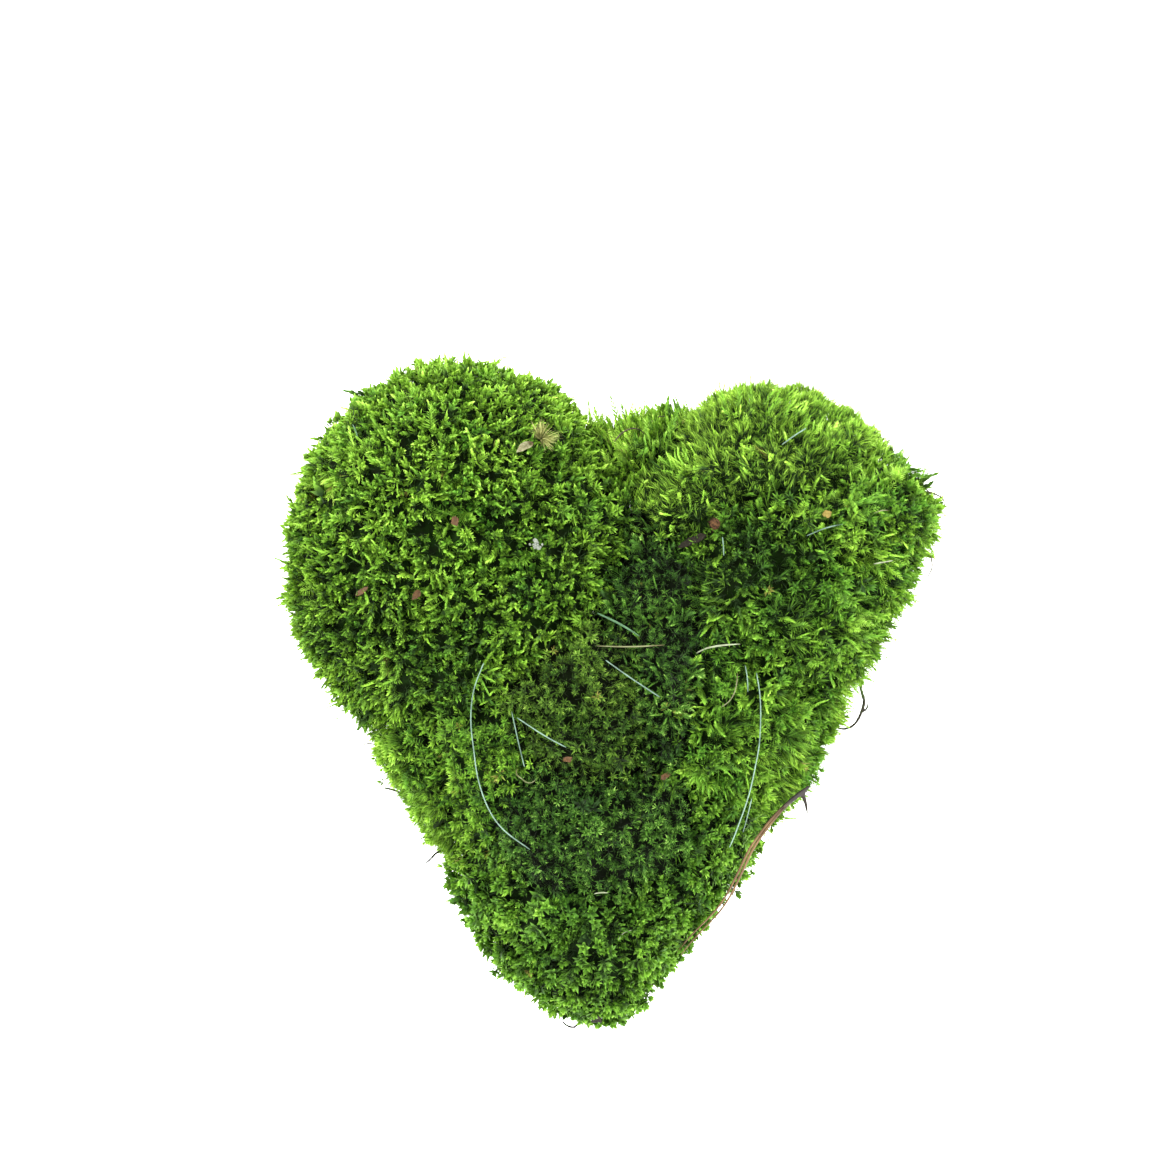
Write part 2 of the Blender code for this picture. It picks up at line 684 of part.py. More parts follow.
def make_wires(skin, root):
    """The binding wires, drawn over the tufts."""
    for name, plan in WIRES.items():
        route = laid_over(skin, plan, WIRE_RADIUS)
        tube(name, route, [WIRE_RADIUS, WIRE_RADIUS], WIRE_GREEN, root)


def make_stalks(skin, root):
    """The dry stalks and single needles, thinner towards their ends."""
    for name, (radius, colour, plan) in STALKS.items():
        route = laid_over(skin, plan, radius)
        tube(name, route, [0.5 * radius, radius, radius, 0.4 * radius], colour, root)


def make_twigs(skin, root):
    """The rootlets and twigs at the edge of the clump."""
    for name, (radius, colour, points) in TWIGS.items():
        line = evenly_spaced(smooth_line(points, 8), TWIG_SPACING)
        route = seated(skin, line, radius)
        tube(name, route, [0.9 * radius, radius, 0.8 * radius, 0.45 * radius], colour, root)


def tube_form(points, radii, sides=6):
    """A closed round tube in mesh form, with radii spread evenly from end to end."""
    line = [Vector(point) for point in points]
    spread = np.interp(np.linspace(0, 1, len(line)), np.linspace(0, 1, len(radii)), radii)
    form = bmesh.new()
    rings = []
    across = None
    for k, (centre, radius) in enumerate(zip(line, spread)):
        ahead = (line[min(k + 1, len(line) - 1)] - line[max(k - 1, 0)]).normalized()
        across = across or ahead.orthogonal()
        across = (across - ahead * across.dot(ahead)).normalized()
        beside = ahead.cross(across)
        ring = []
        for side in range(sides):
            turn = 2 * math.pi * side / sides
            spoke = across * math.cos(turn) + beside * math.sin(turn)
            ring.append(form.verts.new(centre + spoke * float(radius)))
        rings.append(ring)
    for low, high in zip(rings, rings[1:]):
        for side in range(sides):
            after = (side + 1) % sides
            form.faces.new((low[side], low[after], high[after], high[side]))
    form.faces.new(reversed(rings[0]))
    form.faces.new(rings[-1])
    bmesh.ops.recalc_face_normals(form, faces=form.faces)
    return form


def joined(name, forms, colour, root):
    """One object made of overlapping closed forms, joined by Boolean unions."""
    body = new_object(name, mesh_from(forms[0], name), root, principled(name, colour, DRY))
    for number, form in enumerate(forms[1:], 1):
        label = f"{name}_joined_{number}"
        extra = new_object(label, mesh_from(form, label), root)
        extra.hide_render = True
        extra.display_type = "WIRE"
        union = body.modifiers.new(f"Join {number}", "BOOLEAN")
        union.operation = "UNION"
        union.solver = "EXACT"
        union.object = extra
    return body


def make_side_twig(skin, root):
    """The dark bowed twig with a short spur."""
    radius = SIDE_TWIG_RADIUS
    line = evenly_spaced(smooth_line(SIDE_TWIG, 8), TWIG_SPACING)
    route = seated(skin, line, radius)
    foot = route[len(route) // 2 - 1]
    spur = [foot + Vector(step) for step in SIDE_TWIG_SPUR]
    forms = [
        tube_form(route, [radius, radius, 0.8 * radius, 0.6 * radius]),
        tube_form(spur, [0.5 * radius, 0.6 * radius, 0.4 * radius]),
    ]
    joined("side_twig", forms, BARK_BROWN, root)


def make_pine_needles(skin, root):
    """A pair of dry pine needles grown from one dark sheath with its bract."""
    route = laid_over(skin, PINE_PLAN, 2.4 * PINE_RADIUS, PINE_SPACING)
    forms = []
    for side in (-1, 1):
        line = []
        for k, point in enumerate(route):
            ahead = route[min(k + 1, len(route) - 1)] - route[max(k - 1, 0)]
            across = Vector((-ahead.y, ahead.x, 0)).normalized()
            apart = 0.3 * PINE_RADIUS + PINE_SPREAD / 2 * (1 - k / (len(route) - 1)) ** 0.6
            line.append(point + across * side * apart)
        forms.append(tube_form(line, [0.35 * PINE_RADIUS, PINE_RADIUS, PINE_RADIUS], 5))
    end = route[-1]
    step = end - route[-2]
    sheath = [end - step * 1.9, end - step * 0.9, end + step * 0.5]
    forms.insert(0, tube_form(sheath, [0.9 * PINE_RADIUS, 1.9 * PINE_RADIUS, 1.2 * PINE_RADIUS]))
    bract = [end - step * 0.2, end + BRACT_REACH * 0.5, end + BRACT_REACH]
    forms.append(tube_form(bract, [1.5 * PINE_RADIUS, 1.3 * PINE_RADIUS, 0.4 * PINE_RADIUS]))
    joined("pine_needle_pair", forms, NEEDLE_BROWN, root)


def scrap_form(length, width, turn, rng):
    """A thin curled lens of leaf or bark, flat side down."""
    form = bmesh.new()
    edge = []
    for k in range(SCRAP_SHAPE):
        angle = 2 * math.pi * k / SCRAP_SHAPE
        ragged = rng.uniform(0.85, 1.1)
        x = length / 2 * math.cos(angle) * ragged
        y = width / 2 * math.sin(angle) * ragged
        edge.append(form.verts.new((x, y, SCRAP_CURL * (x * x - 2 * y * y) / length)))
    middle = form.verts.new((0, 0, 0))
    fan = [form.faces.new((middle, a, b)) for a, b in zip(edge, edge[1:] + edge[:1])]
    grown = bmesh.ops.extrude_face_region(form, geom=fan)["geom"]
    risen = [part for part in grown if isinstance(part, bmesh.types.BMVert)]
    bmesh.ops.translate(form, vec=Vector((0, 0, SCRAP_THICKNESS)), verts=risen)
    bmesh.ops.recalc_face_normals(form, faces=form.faces)
    form.transform(Matrix.Rotation(math.radians(turn), 4, "Z"))
    return form


def make_scraps(skin, root):
    """Scraps of leaf, bark and lichen that have fallen on the moss."""
    rng = random.Random(SEED + 1)
    for name, (plan, length, width, turn, colour) in SCRAPS.items():
        form = settled(skin, [scrap_form(length, width, turn, rng)], plan, length / 2)[0]
        new_object(name, mesh_from(form, name), root, principled(name, colour, DRY))


def make_seed_cap(skin, root):
    """A round brown seed cap, a little flattened and rough."""
    rng = random.Random(SEED + 2)
    cap = bmesh.new()
    bmesh.ops.create_icosphere(cap, subdivisions=2, radius=SEED_CAP_RADIUS)
    for vert in cap.verts:
        vert.co *= rng.uniform(0.88, 1.08)
        vert.co.z = vert.co.z * 0.8 + SEED_CAP_RADIUS * 0.8
    cap = settled(skin, [cap], SEED_CAP_CENTRE, SEED_CAP_RADIUS)[0]
    new_object("seed_cap", mesh_from(cap, "seed_cap"), root, principled("seed_cap", SEED_BROWN, DRY))


def make_straw_tuft(skin, root):
    """A dried tuft of straw-coloured moss leaves, spread in two fans."""
    rng = random.Random(SEED + 3)
    heart = bmesh.new()
    bmesh.ops.create_icosphere(heart, subdivisions=1, radius=0.9)
    forms = [heart]
    for degrees in STRAW_TUFT_FANS:
        turn = math.radians(degrees + rng.uniform(-6, 6))
        reach = STRAW_TUFT_RADIUS * rng.uniform(0.75, 1.1)
        rise = rng.uniform(0.3, 2.6)
        tip = (reach * math.cos(turn), reach * math.sin(turn), rise)
        half = (0.5 * tip[0], 0.5 * tip[1], 0.7 * rise)
        forms.append(tube_form([(0, 0, 0), half, tip], [0.4, 0.42, 0.12], 4))
    forms = settled(skin, forms, STRAW_TUFT_CENTRE, STRAW_TUFT_RADIUS / 2)
    joined("straw_tuft", forms, STRAW_YELLOW, root)


def make_root_tangle(skin, root):
    """Pale twisted rootlets at the foot of a wire."""
    route = laid_over(skin, ROOT_TANGLE, ROOT_TANGLE_RADIUS, spacing=1.4)
    tube("root_tangle", route, [ROOT_TANGLE_RADIUS, 0.6 * ROOT_TANGLE_RADIUS], STALK_CREAM, root)


def stand_on_origin(root):
    """Move the clump so that its box stands centred on the origin."""
    depsgraph = bpy.context.evaluated_depsgraph_get()
    corners = []
    for thing in root.children:
        if thing.hide_render:
            continue
        solid = thing.evaluated_get(depsgraph).to_mesh()
        corners.extend(vert.co[:] for vert in solid.vertices)
    corners = np.array(corners)
    low = corners.min(0)
    high = corners.max(0)
    root.location = (-(low[0] + high[0]) / 2, -(low[1] + high[1]) / 2, -low[2])


def main():
    """Build the moss clump."""
    clear_scene()
    root = bpy.data.objects.new("moss_clump", None)
    bpy.context.scene.collection.objects.link(root)
    seams = seam_lines()
    form = moss_form(root, seams)
    skin = BVHTree.FromBMesh(form)
    make_cushions(form, root, seams)
    make_wires(skin, root)
    make_stalks(skin, root)
    make_twigs(skin, root)
    make_side_twig(skin, root)
    make_pine_needles(skin, root)
    make_scraps(skin, root)
    make_seed_cap(skin, root)
    make_straw_tuft(skin, root)
    make_root_tangle(skin, root)
    form.free()
    stand_on_origin(root)


if __name__ == "__main__":
    main()
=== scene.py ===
"""Dresses the heart-shaped moss clump: growing moss on every cushion and the litter on it.

Each solid cushion is replaced by one piece of moss. It is an inner mat that lies some
millimetres inside the solid, coloured near black as painted shade for the deep gaps, and
thousands of small leafy shoots that grow from the mat and reach the solid's surface with
their tips. Lengths are named in millimetres.
"""

import logging
import math
from collections.abc import Callable, Sequence
from dataclasses import dataclass
from enum import Enum

import bmesh
import bpy
import numpy as np
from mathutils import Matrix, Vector, noise
from mathutils.bvhtree import BVHTree
from mathutils.kdtree import KDTree


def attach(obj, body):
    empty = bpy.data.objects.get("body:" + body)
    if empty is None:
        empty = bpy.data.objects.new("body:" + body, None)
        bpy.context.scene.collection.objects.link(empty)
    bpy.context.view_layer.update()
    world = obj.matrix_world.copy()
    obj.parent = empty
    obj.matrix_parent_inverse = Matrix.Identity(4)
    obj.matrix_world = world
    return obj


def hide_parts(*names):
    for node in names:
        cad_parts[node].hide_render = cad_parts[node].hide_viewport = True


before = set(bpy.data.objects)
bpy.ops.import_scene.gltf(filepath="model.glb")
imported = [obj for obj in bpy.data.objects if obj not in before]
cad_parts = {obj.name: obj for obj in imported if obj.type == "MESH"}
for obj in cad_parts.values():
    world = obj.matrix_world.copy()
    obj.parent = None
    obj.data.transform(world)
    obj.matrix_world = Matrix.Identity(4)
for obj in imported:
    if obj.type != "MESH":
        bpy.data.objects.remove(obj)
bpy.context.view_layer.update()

log = logging.getLogger("moss clump")

MM = 0.001
BODY = "root"
BAKE_MAP = "OFBake"
ALONG = "along"
UPWARD = "upward"
SAME_PLACE = 1e-6

# Where the heart's own measuring point, between its two lobes, lies in the frame
HEART_POINT = (-1.84, -0.86)

# A colour as the 0 to 255 levels that a screen shows it with
Colour = tuple[float, float, float]
LEVELS = 255


def tone(levels: Colour) -> Colour:
    """The linear light of a colour, by the usual curve of a screen."""
    shares = (level / LEVELS for level in levels)
    return tuple(s / 12.92 if s < 0.04 else ((s + 0.055) / 1.055) ** 2.4 for s in shares)


def unit(vectors: np.ndarray) -> np.ndarray:
    """The same directions at length one."""
    return vectors / np.maximum(np.linalg.norm(vectors, axis=-1, keepdims=True), 1e-9)


class Value:
    """A node's output that takes part in Python expressions."""

    def __init__(self, shader: "Shader", socket: bpy.types.NodeSocket) -> None:
        """Keeps the socket and the shader whose nodes it joins."""
        self.shader = shader
        self.socket = socket

    def math(self, operation: str, first: "Value | float", second: "Value | float") -> "Value":
        """One Math node on two values."""
        settings = {"operation": operation}
        return self.shader.add("ShaderNodeMath", settings, {0: first, 1: second})

    def __add__(self, other: "Value | float") -> "Value":
        """Their sum."""
        return self.math("ADD", self, other)

    __radd__ = __add__

    def __mul__(self, other: "Value | float") -> "Value":
        """Their product."""
        return self.math("MULTIPLY", self, other)

    __rmul__ = __mul__


class Shader:
    """One material and a short way to add nodes to it."""

    def __init__(self, name: str) -> None:
        """Makes the empty material.

        Args:
            name: The material's name.
        """
        self.material = bpy.data.materials.new(name)
        self.material.use_nodes = True
        self.material.node_tree.nodes.clear()

    @staticmethod
    def colour(shown: Colour | float) -> tuple[float, ...]:
        """The socket colour for three screen levels, or for one grey number from 0 to 1."""
        return (*tone(shown), 1.0) if isinstance(shown, tuple) else (shown, shown, shown, 1.0)

    def add(
        self,
        kind: str,
        settings: dict[str, object] | None = None,
        inputs: dict[int | str, object] | None = None,
        out: int | str = 0,
    ) -> Value | None:
        """Adds one node.

        Args:
            kind: The node's Blender type.
            settings: Its properties, and "stops" for a ramp's places and colours.
            inputs: Numbers, colours or values for its sockets, by name or place.
            out: The output to return.

        Returns:
            The chosen output as a value, or nothing for a node without outputs.
        """
        node = self.material.node_tree.nodes.new(kind)
        settings = dict(settings or {})
        for place, stop in enumerate(settings.pop("stops", [])):
            ramp = node.color_ramp.elements
            element = ramp[place] if place < 2 else ramp.new(stop[0])
            element.position = stop[0]
            element.color = self.colour(stop[1])
        for setting, choice in settings.items():
            setattr(node, setting, choice)
        for socket, given in (inputs or {}).items():
            if isinstance(given, Value):
                self.material.node_tree.links.new(given.socket, node.inputs[socket])
            else:
                node.inputs[socket].default_value = given
        return Value(self, node.outputs[out]) if len(node.outputs) else None

    def ramp(self, along: Value, *stops: tuple[float, Colour | float]) -> Value:
        """A colour, or a grey number, that changes along a value."""
        return self.add("ShaderNodeValToRGB", {"stops": stops}, {0: along})

    def mix(self, share: Value | float, first: Value | Colour, second: Value | Colour) -> Value:
        """A colour between two others.

        Args:
            share: How far it lies towards the second, from 0 to 1.
            first: The colour at 0.
            second: The colour at 1.

        Returns:
            The mixed colour.
        """
        sides = [c if isinstance(c, Value) else self.colour(c) for c in (first, second)]
        inputs = {0: share, 6: sides[0], 7: sides[1]}
        return self.add("ShaderNodeMix", {"data_type": "RGBA"}, inputs, 2)

    def noise(self, size: float, detail: float = 3.0) -> Value:
        """A soft random pattern on the object, from 0 to 1.

        Args:
            size: About how many millimetres its blots measure.
            detail: How many finer layers lie over the blots.

        Returns:
            The pattern.
        """
        places = self.add("ShaderNodeTexCoord", out="Object")
        inputs = {"Vector": places, "Scale": 1 / (size * MM), "Detail": detail}
        return self.add("ShaderNodeTexNoise", None, inputs)

    def bump(self, height: Value, depth: float) -> Value:
        """A surface normal that follows a height of 0 to 1 over this many millimetres."""
        inputs = {"Height": height, "Distance": depth * MM}
        return self.add("ShaderNodeBump", None, inputs, "Normal")

    def finish(self, surface: Value) -> bpy.types.Material:
        """Shows this surface and returns the material."""
        self.add("ShaderNodeOutputMaterial", None, {"Surface": surface})
        return self.material


@dataclass(frozen=True)
class MossFinish:
    """The colours of one moss, from its roots, darker by their own colour and by painted shade, to
    the tips of its shoots.
    """

    root: Colour = (13, 17, 6)
    shade: Colour = (18, 41, 5)
    leaf: Colour = (65, 113, 25)
    tip: Colour = (124, 178, 62)
    sun_leaf: Colour = (114, 154, 39)
    sun_tip: Colour = (186, 217, 95)
    dry_leaf: Colour = (89, 88, 34)
    dry_tip: Colour = (136, 134, 67)
    gloss: float = 0.5
    glow: float = 0.27

    SUNNIEST = 0.9
    DRY_FROM = 0.94
    DRY_TINT = 0.965
    ROOT_ROUGHNESS = 0.85
    GLOW_FROM = 0.42

    def material(self, name: str, shine: float) -> bpy.types.Material:
        """Builds the material.

        Its map holds how far up a shoot a point lies, and the shoot's tint: 0 for a deep
        green one, up to SUNNIEST for a sunny one, and above that for a dry one. The tint is
        the moss's own hue, with painted light on steep sides and painted shade at clump edges.

        Args:
            name: The material's name.
            shine: How much it mirrors.

        Returns:
            A leaf that shows its own colour and lets some light through.
        """
        shader = Shader(name)
        spot = shader.add("ShaderNodeUVMap", {"uv_map": BAKE_MAP})
        height = shader.add("ShaderNodeSeparateXYZ", None, {0: spot}, "X")
        tint = shader.add("ShaderNodeSeparateXYZ", None, {0: spot}, "Y")
        # Darker towards each shoot's foot: the moss's own darker base, and painted shade deep in
        # the cushion
        deep = shader.ramp(
            height, (0.0, self.root), (0.3, self.shade), (0.68, self.leaf), (1.0, self.tip)
        )
        sunny = shader.ramp(
            height, (0.0, self.root), (0.24, self.shade), (0.6, self.sun_leaf), (1.0, self.sun_tip)
        )
        dry = shader.ramp(height, (0.0, self.root), (0.5, self.dry_leaf), (1.0, self.dry_tip))
        green = shader.mix(tint * (1 / self.SUNNIEST), deep, sunny)
        dead = shader.ramp(tint, (self.SUNNIEST, 0.0), (self.DRY_FROM, 1.0))
        colour = shader.mix(dead, green, dry)
        roughness = shader.ramp(height, (0.2, self.ROOT_ROUGHNESS), (1.0, self.gloss))
        leaf = shader.add(
            "ShaderNodeBsdfPrincipled", None,
            {"Base Color": colour, "Roughness": roughness, "Specular IOR Level": shine},
        )
        through = shader.add("ShaderNodeBsdfTranslucent", None, {"Color": Shader.colour(self.leaf)})
        glow = shader.ramp(height, (self.GLOW_FROM, 0.0), (1.0, self.glow))
        lit = shader.add("ShaderNodeMixShader", None, {0: glow, 1: leaf, 2: through})
        return shader.finish(lit)


class Bench:
    """Modelling with Blender's own operators, on one object at a time."""

    @staticmethod
    def clear() -> None:
        """Leaves nothing selected."""
        bpy.ops.object.select_all(action="DESELECT")

    @staticmethod
    def take(thing: bpy.types.Object) -> None:
        """Makes an object the only selected one.

        Args:
            thing: The object.
        """
        Bench.clear()
        thing.select_set(True)
        bpy.context.view_layer.objects.active = thing

    @staticmethod
    def edit(thing: bpy.types.Object) -> None:
        """Opens an object in edit mode with nothing selected.

        Args:
            thing: The object.
        """
        Bench.take(thing)
        bpy.ops.object.mode_set(mode="EDIT")
        bpy.ops.mesh.select_all(action="DESELECT")

    @staticmethod
    def pick(thing: bpy.types.Object, wanted: Callable[[Vector], bool]) -> None:
        """Selects points by their place, in edit mode.

        Args:
            thing: The object that is being edited.
            wanted: Says whether the point at a place is selected.
        """
        mesh = bmesh.from_edit_mesh(thing.data)
        for point in mesh.verts:
            point.select_set(bool(wanted(point.co)))
        mesh.select_flush_mode()
        bmesh.update_edit_mesh(thing.data)

    @staticmethod
    def close() -> None:
        """Leaves edit mode."""
        bpy.ops.object.mode_set(mode="OBJECT")

    @staticmethod
    def modify(thing: bpy.types.Object, kind: str, **settings: object) -> None:
        """Adds a modifier and applies it.

        Args:
            thing: The object.
            kind: The modifier's Blender type.
            settings: The modifier's own properties.
        """
        Bench.take(thing)
        modifier = thing.modifiers.new(kind.lower(), kind)
        for setting, choice in settings.items():
            setattr(modifier, setting, choice)
        bpy.ops.object.modifier_apply(modifier=modifier.name)

    @staticmethod
    def arrays(thing: bpy.types.Object) -> tuple[np.ndarray, np.ndarray]:
        """Reads an object's shape.

        Args:
            thing: The object.

        Returns:
            Its points, and the three point numbers of each triangle.
        """
        mesh = thing.data
        mesh.calc_loop_triangles()
        points = np.empty(len(mesh.vertices) * 3)
        mesh.vertices.foreach_get("co", points)
        triangles = np.empty(len(mesh.loop_triangles) * 3, np.int32)
        mesh.loop_triangles.foreach_get("vertices", triangles)
        return points.reshape(-1, 3), triangles.reshape(-1, 3)

    @staticmethod
    def copied(node: str) -> bpy.types.Object:
        """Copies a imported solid, to model with.

        Args:
            node: The solid.

        Returns:
            The free copy, with its loose triangles merged.
        """
        Bench.clear()
        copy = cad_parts[node].copy()
        copy.data = copy.data.copy()
        copy.parent = None
        for key in list(copy.keys()):
            del copy[key]
        bpy.context.collection.objects.link(copy)
        Bench.edit(copy)
        bpy.ops.mesh.select_all(action="SELECT")
        bpy.ops.mesh.remove_doubles(threshold=SAME_PLACE)
        Bench.close()
        return copy

    @staticmethod
    def remove(thing: bpy.types.Object) -> None:
        """Takes a helper object out of the scene."""
        bpy.data.objects.remove(thing, do_unlink=True)


@dataclass
class Pattern:
    """A small shape that is modelled once: points, triangles, and each point's shade and tint."""

    points: np.ndarray
    faces: np.ndarray
    shade: np.ndarray
    tint: np.ndarray

    @staticmethod
    def joined(parts: Sequence["Pattern"]) -> "Pattern":
        """Puts several patterns together.

        Args:
            parts: The patterns.

        Returns:
            All of them as one.
        """
        starts = np.cumsum([0] + [len(part.points) for part in parts])
        return Pattern(
            np.concatenate([part.points for part in parts]),
            np.concatenate([part.faces + start for part, start in zip(parts, starts)]),
            np.concatenate([part.shade for part in parts]),
            np.concatenate([part.tint for part in parts]),
        )

    def thing(self, name: str, mapped: bool = False) -> bpy.types.Object:
        """Makes the pattern an object of loose points and triangles.

        Args:
            name: The object's name.
            mapped: Whether it carries the map of shade and tint.

        Returns:
            The object, with its points where the pattern has them.
        """
        mesh = bpy.data.meshes.new(name)
        mesh.vertices.add(len(self.points))
        mesh.vertices.foreach_set("co", self.points.astype(np.float32).ravel())
        mesh.loops.add(len(self.faces) * 3)
        mesh.loops.foreach_set("vertex_index", self.faces.astype(np.int32).ravel())
        mesh.polygons.add(len(self.faces))
        mesh.polygons.foreach_set("loop_start", np.arange(len(self.faces), dtype=np.int32) * 3)
        mesh.update(calc_edges=True)
        if mapped:
            layer = mesh.uv_layers.new(name=BAKE_MAP)
            spots = np.stack([self.shade, self.tint], 1)[self.faces.ravel()]
            layer.uv.foreach_set("vector", spots.astype(np.float32).ravel())
        mesh.shade_smooth()
        thing = bpy.data.objects.new(name, mesh)
        bpy.context.collection.objects.link(thing)
        return thing


@dataclass(frozen=True)
class Leaf:
    """One small leaf at length one, from the origin along +Y, with its face to +Z."""

    width: float = 0.4
    widest: float = 0.4
    fold: float = 0.06
    hook: float = 0.1

    OFF_MIDDLE = 0.01
    NEAR_SIDE = 0.1
    NEAR_TIP = 0.9

    def model(self) -> Pattern:
        """Models the leaf: a flat lozenge, creased down its middle and bent up at its tip.

        Returns:
            The leaf, with its length as its shade and its two sides as its tint.
        """
        Bench.clear()
        bpy.ops.mesh.primitive_circle_add(
            vertices=4, radius=0.5, fill_type="NGON", location=(0, 0.5, 0)
        )
        leaf = bpy.context.object
        bpy.ops.object.transform_apply(location=True, rotation=True, scale=True)
        Bench.edit(leaf)
        Bench.pick(leaf, lambda place: abs(place.x) > self.NEAR_SIDE)
        bpy.ops.transform.resize(value=(self.width, 1, 1), center_override=(0, 0.5, 0))
        bpy.ops.transform.translate(value=(0, self.widest - 0.5, self.fold))
        Bench.pick(leaf, lambda place: abs(place.x) < self.OFF_MIDDLE)
        bpy.ops.mesh.vert_connect()
        Bench.pick(leaf, lambda place: place.y > self.NEAR_TIP)
        bpy.ops.transform.translate(value=(0, 0, self.hook))
        Bench.close()
        points, faces = Bench.arrays(leaf)
        Bench.remove(leaf)
        side = np.sign(points[:, 0]) * (np.abs(points[:, 0]) > self.OFF_MIDDLE)
        return Pattern(points, faces, points[:, 1], side)


@dataclass(frozen=True)
class LeafRun:
    """Leaves that follow each other up a stem. Each pair goes from the lowest leaf to the top."""

    leaf: Leaf
    count: int
    heights: tuple[float, float]
    lengths: tuple[float, float]
    spreads: tuple[float, float]
    turn: float = 137.5
    wander: float = 0.12


@dataclass(frozen=True)
class Shoot:
    """One kind of moss shoot at length one, from the origin along +Z."""

    runs: tuple[LeafRun, ...]
    stem: float = 0.025
    faces_out: bool = False
    low_shade: float = 0.15
    reach: float = 1.0

    STEM_HEIGHT = 0.95
    STEM_LIGHT = 0.4
    SIDE_TINT = 0.012
    HEIGHT_CURVE = 1.3
    LEAF_LIFT = 0.42
    LEAF_SHADE_SPREAD = 0.28
    LEAF_TINT_SPREAD = 0.09
    TURN_WANDER = 0.06

    def stem_pattern(self) -> Pattern:
        """Models the stem: a thin three-sided cone with no hidden base.

        Returns:
            The stem, darker towards its foot.
        """
        Bench.clear()
        bpy.ops.mesh.primitive_cone_add(
            vertices=3, radius1=self.stem, radius2=0, depth=self.STEM_HEIGHT,
            end_fill_type="NOTHING", location=(0, 0, self.STEM_HEIGHT / 2),
        )
        stem = bpy.context.object
        bpy.ops.object.transform_apply(location=True, rotation=True, scale=True)
        points, faces = Bench.arrays(stem)
        Bench.remove(stem)
        around = np.sign(points[:, 0]) * self.SIDE_TINT
        return Pattern(points, faces, self.low_shade + self.STEM_LIGHT * points[:, 2], around)

    def grown(self, rng: np.random.Generator) -> Pattern:
        """Sets every leaf on the stem.

        Args:
            rng: The source of each leaf's small differences.

        Returns:
            The whole shoot as one pattern.
        """
        parts = [self.stem_pattern()]
        for run in self.runs:
            leaf = run.leaf.model()
            angle = rng.uniform(0, 2 * math.pi)
            for rank in range(run.count):
                share = rank / max(run.count - 1, 1)
                ranges = (run.heights, run.lengths, run.spreads)
                height, length, spread = (low + (high - low) * share for low, high in ranges)
                length *= 1 + run.wander * rng.uniform(-1, 1)
                lean = math.radians(spread * (1 + run.wander * rng.uniform(-1, 1)))
                out = np.array([math.cos(angle), math.sin(angle), 0.0])
                along = out * math.sin(lean) + np.array([0, 0, math.cos(lean)])
                face = np.array([0, 0, math.sin(lean)]) - out * math.cos(lean)
                side = np.cross(along, face)
                axes = np.stack([side, along, face])
                points = leaf.points @ axes * length + np.array([0, 0, height])
                middle = height + length * math.cos(lean) * 0.5
                # Darker low on the stem and towards each leaf's base: the moss's own darker base
                # and painted shade inside the cushion
                shade = self.low_shade + (1 - self.low_shade) * (
                    (1 - self.LEAF_LIFT) * np.clip(middle, 0, 1) ** self.HEIGHT_CURVE
                    + self.LEAF_LIFT * leaf.shade
                )
                shade = shade * (1 - self.LEAF_SHADE_SPREAD * rng.random())
                tint = leaf.tint * self.SIDE_TINT
                tint = tint + self.LEAF_TINT_SPREAD * rng.uniform(-1, 1)
                parts.append(Pattern(points, leaf.faces, shade, tint))
                angle += math.radians(run.turn * (1 + self.TURN_WANDER * rng.uniform(-1, 1)))
        return Pattern.joined(parts)


POINTED = Leaf(width=0.56, widest=0.40, fold=0.09, hook=0.08)
NARROW = Leaf(width=0.30, widest=0.36, fold=0.05, hook=0.06)
NEEDLE = Leaf(width=0.17, widest=0.34, fold=0.04, hook=0.05)
BLADE = Leaf(width=0.10, widest=0.34, fold=0.02, hook=0.06)
HAIR = Leaf(width=0.066, widest=0.30, fold=0.006, hook=0.02)
DRY_BLADE = Leaf(width=0.055, widest=0.30, fold=0.008, hook=0.02)
STIFF_HAIR = Leaf(width=0.16, widest=0.2, fold=0.02, hook=0.0)


class Kind(Enum):
    """The kinds of shoot that make up the clump."""

    FEATHER = Shoot((LeafRun(POINTED, 15, (0.24, 0.86), (0.38, 0.20), (56, 9)),))
    STAR = Shoot((
        LeafRun(NARROW, 7, (0.46, 0.64), (0.46, 0.42), (74, 58)),
        LeafRun(NARROW, 6, (0.66, 0.72), (0.38, 0.34), (44, 30)),
        LeafRun(NARROW, 3, (0.72, 0.76), (0.28, 0.24), (16, 8)),
    ))
    ROSETTE = Shoot((
        LeafRun(POINTED, 6, (0.46, 0.62), (0.44, 0.42), (76, 58)),
        LeafRun(POINTED, 5, (0.66, 0.72), (0.36, 0.32), (44, 28)),
        LeafRun(POINTED, 3, (0.74, 0.78), (0.26, 0.22), (16, 8)),
    ))
    BLADES = Shoot((LeafRun(BLADE, 9, (0.0, 0.36), (0.72, 0.64), (46, 6)),), low_shade=0.10)
    HAIR = Shoot((LeafRun(HAIR, 10, (0.0, 0.16), (0.80, 0.96), (22, 3)),), low_shade=0.12)
    SPECK = Shoot((LeafRun(NEEDLE, 14, (0.30, 0.80), (0.46, 0.28), (68, 18)),))
    FROND = Shoot(
        (
            LeafRun(NARROW, 16, (0.16, 0.86), (0.34, 0.13), (62, 40), turn=180, wander=0.1),
            LeafRun(NARROW, 1, (0.86, 0.86), (0.16, 0.16), (4, 4)),
        ),
        faces_out=True,
        low_shade=0.42,
        reach=1.35,
    )
    SPRIG = Shoot((LeafRun(NARROW, 26, (0.12, 0.94), (0.24, 0.13), (58, 14)),), low_shade=0.4)
    TUFT = Shoot((LeafRun(DRY_BLADE, 22, (0.0, 0.08), (0.70, 1.0), (46, 4)),), low_shade=0.2)


# How many different shoots of each kind are modelled, and where their random draws start
PATTERN_VARIANTS = 4
PATTERN_SEED = 3


